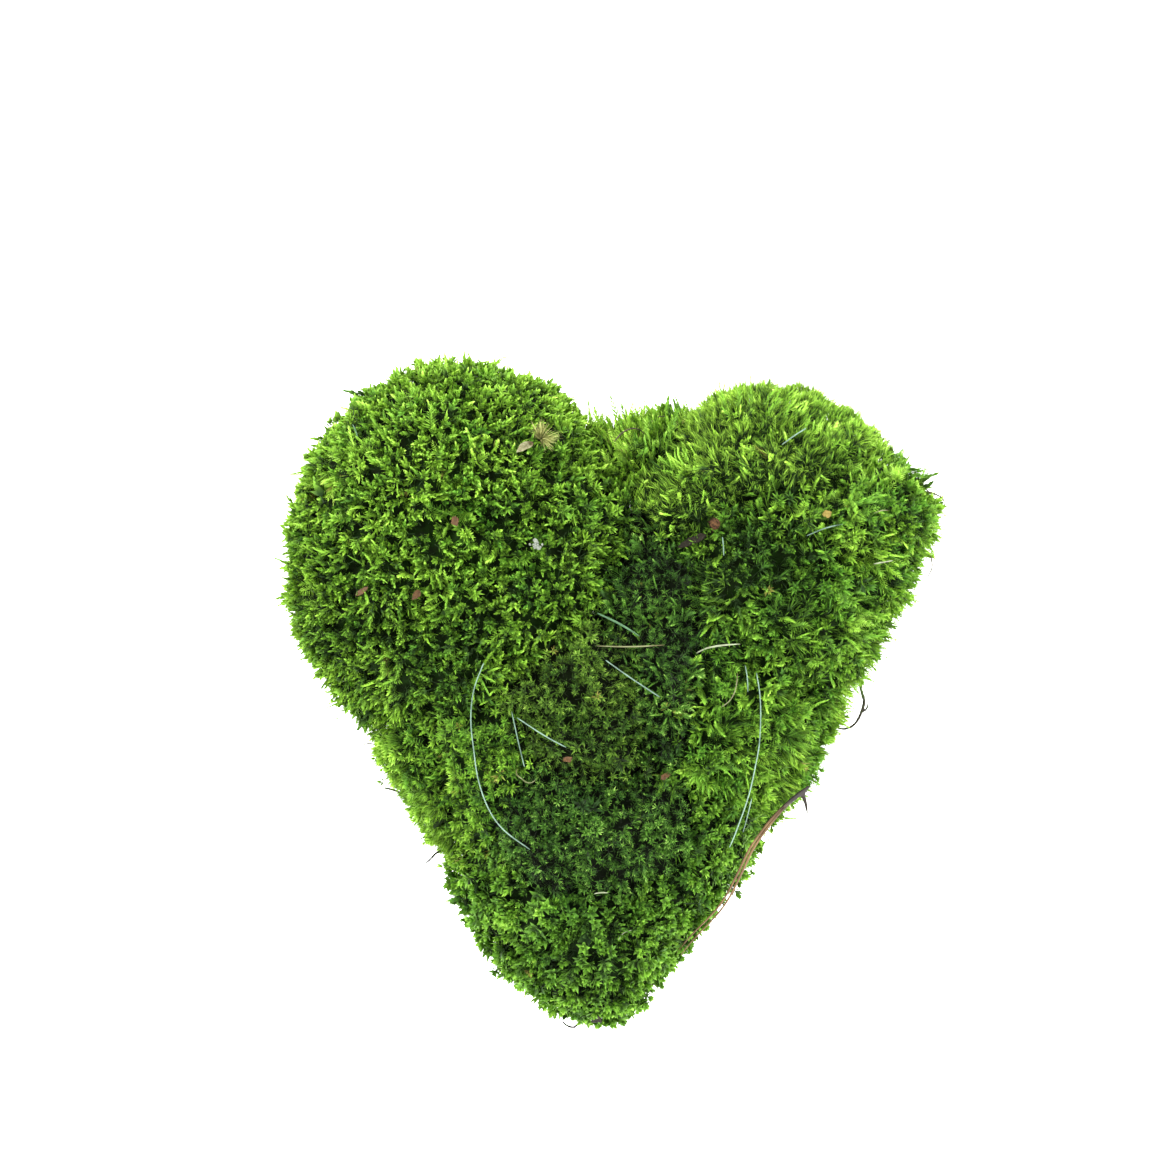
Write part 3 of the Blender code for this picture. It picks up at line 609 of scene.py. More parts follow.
@dataclass(frozen=True)
class PaintedShadePlace:
    """Painted shade on a part of the clump, and painted light there where its depth is below 0. In
    millimetres.
    """

    x: float
    y: float
    radius: float
    depth: float

    def shade(self, spots: np.ndarray) -> np.ndarray:
        """The share of its shade that growth at each spot keeps."""
        away = (spots[:, :2] / MM - (self.x, self.y)) / self.radius
        return 1 - self.depth * np.exp(-(away ** 2).sum(1))


# Painted shade and painted light: broad darker and lighter places across the clump's front
PAINTED_SHADE_AND_LIGHT = (
    PaintedShadePlace(45, 49, 27, 0.27),
    PaintedShadePlace(80, 75, 17, 0.18),
    PaintedShadePlace(8, 22, 15, 0.15),
    PaintedShadePlace(-108, 22, 20, 0.16),
    PaintedShadePlace(-72, 8, 20, 0.16),
    PaintedShadePlace(-8, -98, 20, 0.16),
    PaintedShadePlace(-48, -18, 12, 0.16),
    PaintedShadePlace(-84, 104, 40, -0.20),
    PaintedShadePlace(92, 100, 20, -0.14),
)


@dataclass
class Growth:
    """Where a cushion's shoots stand, one row for each."""

    base: np.ndarray
    axis: np.ndarray
    facing: np.ndarray
    length: np.ndarray
    width: np.ndarray
    bend: np.ndarray
    shade: np.ndarray
    tint: np.ndarray

    BEND = 0.12
    SHADE_RANGE = (0.01, 0.99)

    @staticmethod
    def strewn(
        base: np.ndarray, axis: np.ndarray, wild: float, rng: np.random.Generator
    ) -> "Growth":
        """Sets out plain growth, a millimetre long.

        Args:
            base: Where each shoot stands.
            axis: Which way each one points.
            wild: How far it may turn off that way.
            rng: The source of its turn and its bend.

        Returns:
            The growth, in full light and middling tint.
        """
        count = len(base)
        return Growth(
            base=base,
            axis=unit(axis + wild * rng.normal(0, 1, (count, 3))),
            facing=unit(rng.normal(0, 1, (count, 3))),
            length=np.full(count, MM),
            width=np.ones(count),
            bend=rng.normal(0, Growth.BEND, (count, 3)),
            shade=np.ones(count),
            tint=np.full(count, 0.5),
        )

    def planted(self, pattern: Pattern, rows: np.ndarray) -> Pattern:
        """Plants copies of a pattern.

        Args:
            pattern: The shoot at length one.
            rows: Which of this growth's rows get a copy.

        Returns:
            All the copies as one pattern.
        """
        axis = self.axis[rows]
        side = unit(np.cross(self.facing[rows], axis))
        front = np.cross(axis, side)
        x, y, z = (pattern.points[None, :, place, None] for place in range(3))
        across = (x * side[:, None] + y * front[:, None]) * self.width[rows, None, None]
        upward = z * axis[:, None] + z ** 2 * self.bend[rows][:, None]
        points = self.base[rows][:, None] + self.length[rows, None, None] * (across + upward)
        copies, size = len(rows), len(pattern.points)
        starts = (np.arange(copies) * size)[:, None, None]
        shade = np.clip(pattern.shade[None] * self.shade[rows, None], *self.SHADE_RANGE)
        tint = pattern.tint[None] + self.tint[rows, None]
        return Pattern(
            points.reshape(-1, 3),
            (pattern.faces[None] + starts).reshape(-1, 3),
            shade.ravel(),
            tint.ravel(),
        )


class Ground:
    """What every cushion needs to know of the whole clump."""

    GRAIN = 2.4
    SOFTENING = 5
    BASE_LINE = 1.6
    BASE_FACING = -0.6
    LEAST_SHARE = 0.05

    def __init__(self) -> None:
        """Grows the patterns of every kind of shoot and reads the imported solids."""
        rng = np.random.default_rng(PATTERN_SEED)
        self.patterns = {
            kind: [kind.value.grown(rng) for _ in range(PATTERN_VARIANTS)] for kind in Kind
        }
        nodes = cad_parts.items()
        moss = {name: Bench.arrays(thing) for name, thing in nodes if name.endswith("_moss")}
        litter = [Bench.arrays(thing) for name, thing in nodes if not name.endswith("_moss")]
        self.solids = {name: self.tree([solid]) for name, solid in moss.items()}
        self.others = {
            name: self.tree([solid for other, solid in moss.items() if other != name])
            for name in moss
        }
        self.litter = self.tree(litter)
        self.points, self.faces, self.normals = self.blended(list(moss))
        corners = self.points[self.faces]
        across = np.cross(corners[:, 1] - corners[:, 0], corners[:, 2] - corners[:, 0])
        self.area = np.linalg.norm(across, axis=1) / 2
        self.facing = unit(across)
        self.middles = corners.mean(1)
        low = corners[:, :, 2].max(1) < self.BASE_LINE * MM
        self.open = ~(low & (self.facing[:, 2] < self.BASE_FACING))
        self.surface = self.tree([(self.points, self.faces[self.open])])

    @staticmethod
    def tree(meshes: Sequence[tuple[np.ndarray, np.ndarray]]) -> BVHTree:
        """Makes a surface to measure from.

        Args:
            meshes: The points and triangles of each mesh in it.

        Returns:
            The surface.
        """
        starts = np.cumsum([0] + [len(points) for points, _ in meshes])
        points = np.concatenate([points for points, _ in meshes])
        faces = np.concatenate([faces + start for (_, faces), start in zip(meshes, starts)])
        return BVHTree.FromPolygons(points.tolist(), faces.tolist())

    @staticmethod
    def point_normals(thing: bpy.types.Object) -> np.ndarray:
        """Reads which way a surface faces.

        Args:
            thing: The object.

        Returns:
            One direction for each of its points.
        """
        normals = np.empty(len(thing.data.vertices) * 3)
        thing.data.vertices.foreach_get("normal", normals)
        return normals.reshape(-1, 3)

    def blended(self, names: Sequence[str]) -> tuple[np.ndarray, np.ndarray, np.ndarray]:
        """Models the clump's skin, which runs softly from one cushion into the next.

        Args:
            names: The cushions that it covers.

        Returns:
            Its points, its triangles and the facing of each point.
        """
        copies = [Bench.copied(name) for name in names]
        Bench.clear()
        for copy in copies:
            copy.select_set(True)
        bpy.context.view_layer.objects.active = copies[0]
        bpy.ops.object.join()
        skin = copies[0]
        Bench.modify(skin, "REMESH", mode="VOXEL", voxel_size=self.GRAIN * MM)
        Bench.modify(skin, "SMOOTH", factor=0.5, iterations=self.SOFTENING)
        points, faces = Bench.arrays(skin)
        normals = self.point_normals(skin)
        Bench.remove(skin)
        return points, faces, normals

    def share(self, node: str, softness: float) -> np.ndarray:
        """How far each triangle of the skin belongs to a cushion, from 0 to 1.

        Args:
            node: The cushion.
            softness: How many millimetres the passage into its neighbours takes.

        Returns:
            One share for each triangle.
        """
        own, rest = self.solids[node], self.others[node]
        away = np.array([
            rest.find_nearest(Vector(spot))[3] - own.find_nearest(Vector(spot))[3]
            for spot in self.middles
        ])
        share = 1 / (1 + np.exp(-away / (softness * MM)))
        return np.where(share > self.LEAST_SHARE, share, 0) * self.open


def hand_over(piece: bpy.types.Object, node: str) -> bpy.types.Object:
    """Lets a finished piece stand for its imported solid.

    Args:
        piece: The finished piece.
        node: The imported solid.

    Returns:
        The piece.
    """
    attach(piece, BODY)
    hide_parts(node)
    return piece


@dataclass
class Cushion:
    """One cushion of moss. Lengths are in millimetres.

    Attributes:
        node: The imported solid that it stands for.
        finish: Its colours.
        kinds: How much of each kind of shoot it has.
        spacing: The room between two shoots.
        lengths: The shortest and the longest shoot.
        width: How wide a shoot is beside its pattern.
        lean: How far shoots lean out from the middle of their clump.
        wild: How far they lean at random.
        fall: How far they lean downhill.
        comb: Which way all of them lean.
        clump: How wide a clump of shoots is.
        hollow: How far the shoots at a clump's edge are sunk.
        proud: How far all shoots stand out of the skin.
        tint: The range of their tint.
        dry: The share of dry shoots.
        sprigs: The place, turn and length of each single sprig.
        seed: Where its random draws start.
    """

    node: str
    finish: MossFinish
    kinds: dict[Kind, float]
    spacing: float = 2.2
    lengths: tuple[float, float] = (6.0, 9.0)
    width: float = 1.0
    lean: float = 0.35
    wild: float = 0.45
    fall: float = 0.35
    comb: tuple[float, float, float] = (0.0, 0.0, 0.0)
    clump: float = 11.0
    hollow: float = 1.6
    proud: float = 1.2
    tint: tuple[float, float] = (0.20, 0.62)
    dry: float = 0.0015
    sprigs: tuple[tuple[float, float, float, float], ...] = ()
    seed: int = 1

    # The mat, coloured near black: painted shade for the deep gaps between the shoots
    MAT_GRAIN = 2.4
    MAT_DEPTH = 6.5
    MAT_DEPTH_SPREAD = 0.5
    MAT_ROUGHNESS = 0.12
    MAT_PAINTED_SHADE = (0.02, 0.20)
    MAT_TINT = (0.1, 0.8)
    LOW_EDGE = 14.0
    LOW_DEPTH = 0.3
    WALL_SWELL = 0.4
    FLOOR_CLEAR = 0.15

    # Where the shoots stand
    TRIED = 4
    SEAM_SOFTNESS = 1.1
    SEAM_SHARE = 0.2
    UNDERSIDE_REACH = 1.6
    UNDERSIDE_SHARE = 0.85
    LITTER_ROOM = 1.0
    LITTER_DROP = 1.5

    # How they lean and how long they are
    CLUMP_REACH = 0.75
    OWN_WAY = 0.7
    CLUMP_WAY = 0.6
    CLUMP_DROP = (-1.2, 0.6)
    OWN_DROP = 0.6
    LEAST_TILT = 0.35
    SAG = 0.05
    WIDTH_SPREAD = (0.85, 1.2)
    STRAYS = 0.022
    STRAY_REACH = (1.5, 4.0)
    CLUMP_KIND_SHARE = 0.6
    FACING_SPREAD = 0.3

    # Their tint and shade, with painted light on steep sides and painted shade at clump edges and
    # in hollows
    CLUMP_TINT = 0.10
    SLOPE_PAINTED_LIGHT = 0.34
    PATCH_TINT = 0.34
    PATCH = 17.0
    EDGE_PAINTED_SHADE_TINT = 0.10
    STRAY_TINT = 0.20
    TINT_RANGE = (0.07, 0.82)
    FROND_TINT = 0.12
    FROND_TINT_RANGE = (0.07, 0.85)
    EDGE_PAINTED_SHADE = 0.16
    SUNK_PAINTED_SHADE = 0.05
    LEAST_SHADE = 0.5
    SHADE_SPREAD = (0.86, 1.04)
    STRAY_SHADE = 0.2
    LEAF_SHINE = 0.14
    MAT_SHINE = 0.05

    # Single sprigs
    SPRIG_TOP = 200.0
    SPRIG_RISE = 0.5
    SPRIG_FOOT = 2.5
    SPRIG_WILD = 0.08
    SPRIG_SHADE = 0.86
    SPRIG_TINT = 0.2

    def mat(self, ground: Ground, rng: np.random.Generator) -> Pattern:
        """Draws the solid in to the mat that the shoots grow from, coloured near black as painted
        shade.

        Every point is taken to the same depth under the clump's skin. Where a neighbour
        already covers it that deep it stays, so that no gap opens between the two.

        Args:
            ground: The whole clump.
            rng: The source of the mat's roughness.

        Returns:
            The closed mat.
        """
        form = Bench.copied(self.node)
        Bench.modify(form, "REMESH", mode="VOXEL", voxel_size=self.MAT_GRAIN * MM)
        points, _ = Bench.arrays(form)
        outward = Ground.point_normals(form)
        spots, facings = [], []
        for point in points:
            spot, facing, _, _ = ground.surface.find_nearest(Vector(point))
            spots.append(spot)
            facings.append(facing)
        facing = np.array(facings)
        cover = ((np.array(spots) - points) * facing).sum(1)
        low = np.clip(points[:, 2] / (self.LOW_EDGE * MM), 0, 1)
        inset = self.MAT_DEPTH * (self.LOW_DEPTH + (1 - self.LOW_DEPTH) * low)
        depth = (inset + rng.normal(0, self.MAT_DEPTH_SPREAD, len(points))) * MM - cover
        covered = depth <= 0
        points = points - facing * np.where(covered, 0, depth)[:, None]
        points += outward * (covered * self.WALL_SWELL * MM)[:, None]
        form.data.vertices.foreach_set("co", points.ravel())
        form.data.update()
        Bench.modify(form, "REMESH", mode="VOXEL", voxel_size=self.MAT_GRAIN * MM)
        points, faces = Bench.arrays(form)
        Bench.remove(form)
        points += rng.normal(0, self.MAT_ROUGHNESS, points.shape) * MM
        points[:, 2] = np.maximum(points[:, 2], self.FLOOR_CLEAR * MM)
        # Near-black mat colours: painted shade for the deep gaps between the shoots
        shade = rng.uniform(*self.MAT_PAINTED_SHADE, len(points))
        return Pattern(points, faces, shade, rng.uniform(*self.MAT_TINT, len(points)))

    @staticmethod
    def thinned(points: np.ndarray, gaps: np.ndarray) -> np.ndarray:
        """Drops every point that is closer to an earlier one than its gap.

        Args:
            points: Where the points are.
            gaps: The room that each one needs.

        Returns:
            The rows that are kept.
        """
        cell = gaps.max()
        taken: dict[tuple[int, int, int], list[int]] = {}
        kept = []
        keys = np.floor(points / cell).astype(int)
        steps = [(a, b, c) for a in (-1, 0, 1) for b in (-1, 0, 1) for c in (-1, 0, 1)]
        for row, (place, key) in enumerate(zip(points, keys.tolist())):
            near = [
                other
                for a, b, c in steps
                for other in taken.get((key[0] + a, key[1] + b, key[2] + c), ())
            ]
            if near:
                away = points[near] - place
                if (away * away).sum(1).min() < gaps[row] ** 2:
                    continue
            taken.setdefault(tuple(key), []).append(row)
            kept.append(row)
        return np.array(kept)

    def growth(self, ground: Ground, rng: np.random.Generator) -> tuple[Growth, np.ndarray]:
        """Chooses where every shoot stands, how it leans and which clump it belongs to.

        Args:
            ground: The whole clump.
            rng: The source of every choice.

        Returns:
            The shoots and the number of each one's clump.
        """
        share = ground.share(self.node, self.SEAM_SOFTNESS)
        chance = ground.area * share
        wanted = chance.sum() / (self.spacing * MM) ** 2
        rows = rng.choice(len(chance), int(wanted * self.TRIED), p=chance / chance.sum())
        parts = rng.dirichlet((1, 1, 1), len(rows))[:, :, None]
        spots = (ground.points[ground.faces[rows]] * parts).sum(1)
        facing = unit((ground.normals[ground.faces[rows]] * parts).sum(1))
        under = np.clip(-facing[:, 2] * self.UNDERSIDE_REACH, 0, 1)
        under *= 1 / self.UNDERSIDE_SHARE - 1
        gap = self.spacing * MM * (1 + under) / np.sqrt(np.clip(share[rows], self.SEAM_SHARE, 1))
        kept = self.thinned(spots, gap)
        return self.leaned(spots[kept], facing[kept], ground, rng)

    def leaned(
        self, spots: np.ndarray, facing: np.ndarray, ground: Ground, rng: np.random.Generator
    ) -> tuple[Growth, np.ndarray]:
        """Gathers shoots in clumps and leans each one out from the middle of its clump.

        Args:
            spots: Where the tips of upright shoots would lie, on the skin.
            facing: Which way the skin faces there.
            ground: The whole clump.
            rng: The source of each shoot's lean, length, tint and shade.

        Returns:
            The shoots and the number of each one's clump.
        """
        count = len(spots)
        middles = spots[self.thinned(spots, np.full(count, self.clump * MM))]
        tree = KDTree(len(middles))
        for row, middle in enumerate(middles):
            tree.insert(Vector(middle), row)
        tree.balance()
        clump = np.array([tree.find(Vector(spot))[1] for spot in spots])
        away = spots - middles[clump]
        away -= facing * (away * facing).sum(1)[:, None]
        reach = np.linalg.norm(away, axis=1) / (self.clump * MM * self.CLUMP_REACH)
        reach = np.clip(reach, 0, 1)
        wild = rng.normal(0, 1, (count, 3))
        clump_way = rng.normal(0, 1, (len(middles), 3))[clump]
        downhill = facing * np.array([1, 1, 0])
        axis = unit(
            facing
            + self.lean * unit(away) * reach[:, None]
            + self.wild * (self.OWN_WAY * wild + self.CLUMP_WAY * clump_way)
            + self.fall * downhill
            + np.array(self.comb)
        )
        length = rng.uniform(*self.lengths, count) * MM
        clump_drop = rng.uniform(*self.CLUMP_DROP, len(middles))[clump]
        own_drop = rng.normal(0, self.OWN_DROP, count)
        sunk = self.hollow * reach ** 2 + clump_drop + own_drop - self.proud
        tilt = np.clip((axis * facing).sum(1), self.LEAST_TILT, 1)
        base = spots - facing * (length * tilt + sunk * MM)[:, None]
        stray = rng.random(count) < self.STRAYS
        length += stray * rng.uniform(*self.STRAY_REACH, count) * MM
        for row, tip in enumerate(base + axis * length[:, None]):
            if ground.litter.find_nearest(Vector(tip), self.LITTER_ROOM * MM)[0] is not None:
                base[row] -= facing[row] * self.LITTER_DROP * MM
        # Painted light: steeper sides, towards the rim, are given a sunnier, lighter tint; shoots
        # at a clump's edge a deeper one as painted shade
        slope = 1 - np.clip(facing[:, 2], 0, 1)
        patches = np.array([noise.noise(Vector(spot) / (self.PATCH * MM)) for spot in spots])
        tint = (
            rng.uniform(*self.tint, count)
            + rng.normal(0, self.CLUMP_TINT, len(middles))[clump]
            + self.SLOPE_PAINTED_LIGHT * slope
            + self.PATCH_TINT * patches
            - self.EDGE_PAINTED_SHADE_TINT * reach
            - self.STRAY_TINT * stray
        )
        tint = np.clip(tint, *self.TINT_RANGE)
        tint[rng.random(count) < self.dry] = MossFinish.DRY_TINT
        # Painted shade: darker at a clump's edge and where a shoot is sunk
        shade = 1.0 - self.EDGE_PAINTED_SHADE * reach ** 2 - self.SUNK_PAINTED_SHADE * np.maximum(sunk, 0)
        shade = np.clip(shade, self.LEAST_SHADE, 1)
        shade *= rng.uniform(*self.SHADE_SPREAD, count) * (1 - self.STRAY_SHADE * stray)
        # Painted shade and painted light over the listed broad places
        for painted_place in PAINTED_SHADE_AND_LIGHT:
            shade *= painted_place.shade(spots)
        growth = Growth(
            base=base,
            axis=axis,
            facing=unit(rng.normal(0, 1, (count, 3))),
            length=length,
            width=self.width * rng.uniform(*self.WIDTH_SPREAD, count),
            bend=rng.normal(0, Growth.BEND, (count, 3)) - np.array([0, 0, self.SAG]),
            shade=shade,
            tint=tint,
        )
        return growth, clump

    def build(self, ground: Ground) -> bpy.types.Object:
        """Grows the cushion.

        Args:
            ground: The whole clump.

        Returns:
            The one piece that stands for its solid.
        """
        rng = np.random.default_rng(self.seed)
        parts = [self.mat(ground, rng)]
        growth, clump = self.growth(ground, rng)
        kinds, shares = list(self.kinds), np.array(list(self.kinds.values()))
        shares = shares / shares.sum()
        by_clump = rng.choice(len(kinds), clump.max() + 1, p=shares)
        chosen = np.where(
            rng.random(len(clump)) < self.CLUMP_KIND_SHARE,
            by_clump[clump],
            rng.choice(len(kinds), len(clump), p=shares),
        )
        variant = rng.integers(0, PATTERN_VARIANTS, len(clump))
        for place, kind in enumerate(kinds):
            if kind.value.faces_out:
                rows = chosen == place
                turned = self.FACING_SPREAD * rng.normal(0, 1, (rows.sum(), 3))
                growth.facing[rows] = np.array([0, 0, 1.0]) + turned
                growth.length[rows] *= kind.value.reach
                sunny = growth.tint[rows] + self.FROND_TINT
                growth.tint[rows] = np.clip(sunny, *self.FROND_TINT_RANGE)
            for number, pattern in enumerate(ground.patterns[kind]):
                rows = np.flatnonzero((chosen == place) & (variant == number))
                if len(rows):
                    parts.append(growth.planted(pattern, rows))
        parts.extend(self.sprig(ground, rng, *sprig) for sprig in self.sprigs)
        whole = Pattern.joined(parts)
        whole.points[:, 2] = np.maximum(whole.points[:, 2], self.FLOOR_CLEAR * MM)
        return self.piece(whole, len(parts[0].faces))

    def sprig(
        self,
        ground: Ground,
        rng: np.random.Generator,
        x: float,
        y: float,
        turn: float,
        length: float,
    ) -> Pattern:
        """Plants one leafy sprig that stands out of the cushion.

        Args:
            ground: The whole clump.
            rng: The source of its leaf pattern and its small lean.
            x: Where it stands, in millimetres.
            y: The same, across.
            turn: Which way it leans, in degrees from the right.
            length: How long it is, in millimetres.

        Returns:
            The planted sprig.
        """
        spot, facing, _, _ = ground.surface.ray_cast(
            Vector((x * MM, y * MM, self.SPRIG_TOP * MM)), Vector((0, 0, -1))
        )
        angle = math.radians(turn)
        way = np.array([math.cos(angle), math.sin(angle), self.SPRIG_RISE])
        foot = np.array(spot) - np.array(facing) * self.SPRIG_FOOT * MM
        growth = Growth.strewn(foot[None], way[None], self.SPRIG_WILD, rng)
        growth.length *= length
        growth.shade *= self.SPRIG_SHADE
        growth.tint[:] = self.SPRIG_TINT
        pattern = ground.patterns[Kind.SPRIG][rng.integers(PATTERN_VARIANTS)]
        return growth.planted(pattern, np.array([0]))

    def piece(self, whole: Pattern, mat_faces: int) -> bpy.types.Object:
        """Makes the finished piece.

        Args:
            whole: The mat and every shoot.
            mat_faces: How many of its first triangles are the mat's.

        Returns:
            The piece, with its finish and its place in the clump.
        """
        piece = whole.thing(self.node.replace("_moss", "_growth"), mapped=True)
        piece.data.materials.append(self.finish.material(piece.name, self.LEAF_SHINE))
        piece.data.materials.append(self.finish.material(piece.name + "_mat", self.MAT_SHINE))
        slots = np.zeros(len(whole.faces), np.int32)
        slots[:mat_faces] = 1
        piece.data.polygons.foreach_set("material_index", slots)
        return hand_over(piece, self.node)


GREEN = MossFinish()
DEEP = MossFinish(
    shade=(15, 36, 5), leaf=(57, 100, 22), tip=(116, 168, 56),
    sun_leaf=(95, 138, 34), sun_tip=(177, 210, 89),
)
BRIGHT = MossFinish(
    leaf=(99, 150, 39), tip=(167, 216, 85), sun_leaf=(142, 184, 57),
    sun_tip=(213, 240, 121),
)
DARK = MossFinish(
    root=(6, 8, 3), shade=(7, 16, 3), leaf=(31, 68, 11), tip=(158, 220, 84),
    sun_leaf=(68, 110, 28), sun_tip=(198, 236, 123),
)
OLIVE = MossFinish(
    root=(8, 9, 3), shade=(10, 21, 3), leaf=(42, 76, 12), tip=(162, 208, 76),
    sun_leaf=(85, 118, 30), sun_tip=(194, 222, 108),
)
STRAW = MossFinish(
    root=(78, 74, 42), shade=(116, 112, 68), leaf=(152, 150, 96),
    tip=(182, 182, 124), sun_leaf=(134, 146, 78), sun_tip=(172, 182, 108),
)

CUSHIONS = (
    Cushion(
        "left_lobe_moss", GREEN, {Kind.FEATHER: 0.84, Kind.STAR: 0.08, Kind.FROND: 0.08},
        spacing=1.85, lengths=(6.2, 8.8), lean=0.5, wild=0.75, fall=0.6, comb=(0, -0.15, 0),
        clump=7.5, hollow=2.3, width=1.04, tint=(0.24, 0.7), seed=11,
    ),
    Cushion(
        "notch_moss", GREEN, {Kind.FEATHER: 0.5, Kind.FROND: 0.3, Kind.BLADES: 0.2},
        spacing=1.6, comb=(0, 0.6, 0), lengths=(7, 11), proud=3.6, tint=(0.3, 0.75),
        sprigs=((3, 102, 95, 10), (8, 103, 72, 11), (14, 103, 108, 10), (-6, 99, 84, 9)), seed=12,
    ),
    Cushion(
        "right_lobe_moss", BRIGHT, {Kind.BLADES: 0.86, Kind.FROND: 0.08, Kind.FEATHER: 0.06},
        spacing=1.4, lengths=(4.5, 7.0), comb=(0.0, 0.25, 0.0), lean=0.35, clump=8,
        wild=0.5, proud=2.0, tint=(0.25, 0.75),
        sprigs=(
            (43, 112, 112, 12), (47, 113, 84, 13), (52, 113, 98, 13), (56, 113, 64, 12),
            (61, 111, 76, 11), (46, 109, 135, 10), (57, 109, 40, 10), (65, 108, 70, 10),
            (82, 95, 40, 9), (90, 87, 20, 8), (72, 104, 65, 9),
        ),
        seed=13,
    ),
    Cushion(
        "right_side_moss", GREEN,
        {Kind.STAR: 0.3, Kind.BLADES: 0.22, Kind.FEATHER: 0.24, Kind.FROND: 0.24},
        spacing=1.8, hollow=2.4, tint=(0.12, 0.52), seed=14,
    ),
    Cushion(
        "dark_centre_moss", DARK, {Kind.SPECK: 0.66, Kind.FEATHER: 0.12, Kind.FROND: 0.22},
        spacing=1.55, lengths=(4.5, 7.0), clump=7, hollow=2.4, tint=(0.1, 0.7), seed=15,
    ),
    Cushion(
        "olive_centre_moss", OLIVE, {Kind.SPECK: 0.6, Kind.STAR: 0.4},
        spacing=1.55, lengths=(4.5, 7.0), clump=7, hollow=2.2, seed=16,
    ),
    Cushion(
        "left_star_moss", GREEN, {Kind.STAR: 0.7, Kind.FEATHER: 0.3},
        spacing=1.8, lengths=(5.5, 8.0), dry=0.02, clump=9, hollow=2.4, tint=(0.1, 0.6),
        seed=17,
    ),
    Cushion(
        "left_rim_moss", GREEN, {Kind.BLADES: 0.4, Kind.STAR: 0.35, Kind.HAIR: 0.25},
        spacing=1.55, lengths=(5.5, 8.5), comb=(-0.3, -0.2, 0.1), lean=0.5, clump=7,
        hollow=2.6, tint=(0.25, 0.7), seed=18,
    ),
    Cushion(
        "dark_lower_moss", DARK, {Kind.SPECK: 0.5, Kind.STAR: 0.34, Kind.FEATHER: 0.16},
        spacing=1.55, lengths=(4.5, 7.0), clump=7, hollow=2.4, tint=(0.1, 0.7), seed=19,
    ),
    Cushion(
        "right_middle_moss", GREEN,
        {Kind.BLADES: 0.38, Kind.STAR: 0.28, Kind.HAIR: 0.16, Kind.FROND: 0.18},
        spacing=1.6, comb=(0.15, -0.1, 0.0), hollow=2.2, tint=(0.12, 0.54), seed=20,
    ),
    Cushion(
        "tip_moss", DEEP, {Kind.ROSETTE: 0.6, Kind.FEATHER: 0.25, Kind.BLADES: 0.15},
        spacing=2.05, lengths=(6.0, 8.5), clump=8, hollow=3.2, width=1.1, seed=21,
    ),
)


@dataclass(frozen=True)
class LitterFinish:
    """Dry stuff in two colours, with specks, a fine grain, darker ends and painted shade on its
    undersides.
    """

    light: Colour
    dark: Colour
    speck: Colour
    # Painted shade: the colour of the sides that face down
    underside_shade: Colour | None = None
    far_end: Colour | None = None
    blotch: float = 2.5
    grain: float = 0.25
    speck_level: float = 0.68
    roughness: tuple[float, float] = (0.55, 0.9)
    relief: float = 0.08
    metallic: float = 0.0
    shine: float = 0.15

    BLOTCH_EDGES = (0.38, 0.62)
    BLOTCH_SHARE = 0.6
    PAINTED_UNDERSIDE_EDGES = (0.45, 0.85)
    FAR_END = (0.74, 0.88)
    SPECK_SIZE = 2.4
    SPECK_EDGE = 0.06

    def material(self, name: str) -> bpy.types.Material:
        """Builds the material.

        Its piece says how far each point lies along it and how far it faces up, both from
        0 to 1, in the attributes that Litter sets.

        Args:
            name: The material's name.

        Returns:
            A surface of this finish.
        """
        shader = Shader(name)
        along = shader.add("ShaderNodeAttribute", {"attribute_name": ALONG}, out="Fac")
        upward = shader.add("ShaderNodeAttribute", {"attribute_name": UPWARD}, out="Fac")
        start, full = self.BLOTCH_EDGES
        blotches = shader.ramp(shader.noise(self.blotch), (start, 0.0), (full, 1.0))
        grain = shader.noise(self.grain, 4.0)
        share = blotches * self.BLOTCH_SHARE + grain * (1 - self.BLOTCH_SHARE)
        colour = shader.mix(share, self.dark, self.light)
        # Painted shade: the sides that face down take the darker underside colour
        if self.underside_shade:
            start, full = self.PAINTED_UNDERSIDE_EDGES
            sides = shader.ramp(upward, (start, 1.0), (full, 0.0))
            colour = shader.mix(sides, colour, self.underside_shade)
        if self.far_end:
            start, full = self.FAR_END
            ends = shader.ramp(along, (start, 0.0), (full, 1.0))
            colour = shader.mix(ends, colour, self.far_end)
        fine = shader.noise(self.grain * self.SPECK_SIZE, 2.0)
        level = self.speck_level
        specks = shader.ramp(fine, (level, 0.0), (level + self.SPECK_EDGE, 1.0))
        colour = shader.mix(specks, colour, self.speck)
        low, high = self.roughness
        surface = shader.add(
            "ShaderNodeBsdfPrincipled", None,
            {
                "Base Color": colour, "Roughness": low + (high - low) * grain,
                "Metallic": self.metallic, "Specular IOR Level": self.shine,
                "Normal": shader.bump(grain, self.relief),
            },
        )
        return shader.finish(surface)


WIRE = LitterFinish(
    light=(88, 112, 98), dark=(52, 72, 60), speck=(34, 48, 34), blotch=6.0,
    roughness=(0.35, 0.55), relief=0.02, metallic=0.2, shine=0.4,
)
PINE = LitterFinish(
    light=(92, 72, 44), dark=(66, 48, 28), speck=(44, 28, 17),
    underside_shade=(38, 22, 14), far_end=(24, 19, 14), blotch=7.0, shine=0.2,
    roughness=(0.55, 0.75),
)
FRESH_NEEDLE = LitterFinish(
    light=(48, 86, 50), dark=(28, 60, 30), speck=(74, 102, 68), blotch=4.0,
    underside_shade=(18, 38, 16), roughness=(0.4, 0.6), shine=0.4,
)
STALK = LitterFinish(
    light=(94, 98, 68), dark=(68, 68, 44), speck=(44, 38, 24),
    underside_shade=(46, 46, 28), far_end=(64, 60, 36),
)
FIBRE = LitterFinish(
    light=(116, 124, 100), dark=(86, 90, 70), speck=(58, 56, 40),
    underside_shade=(58, 60, 42),
)
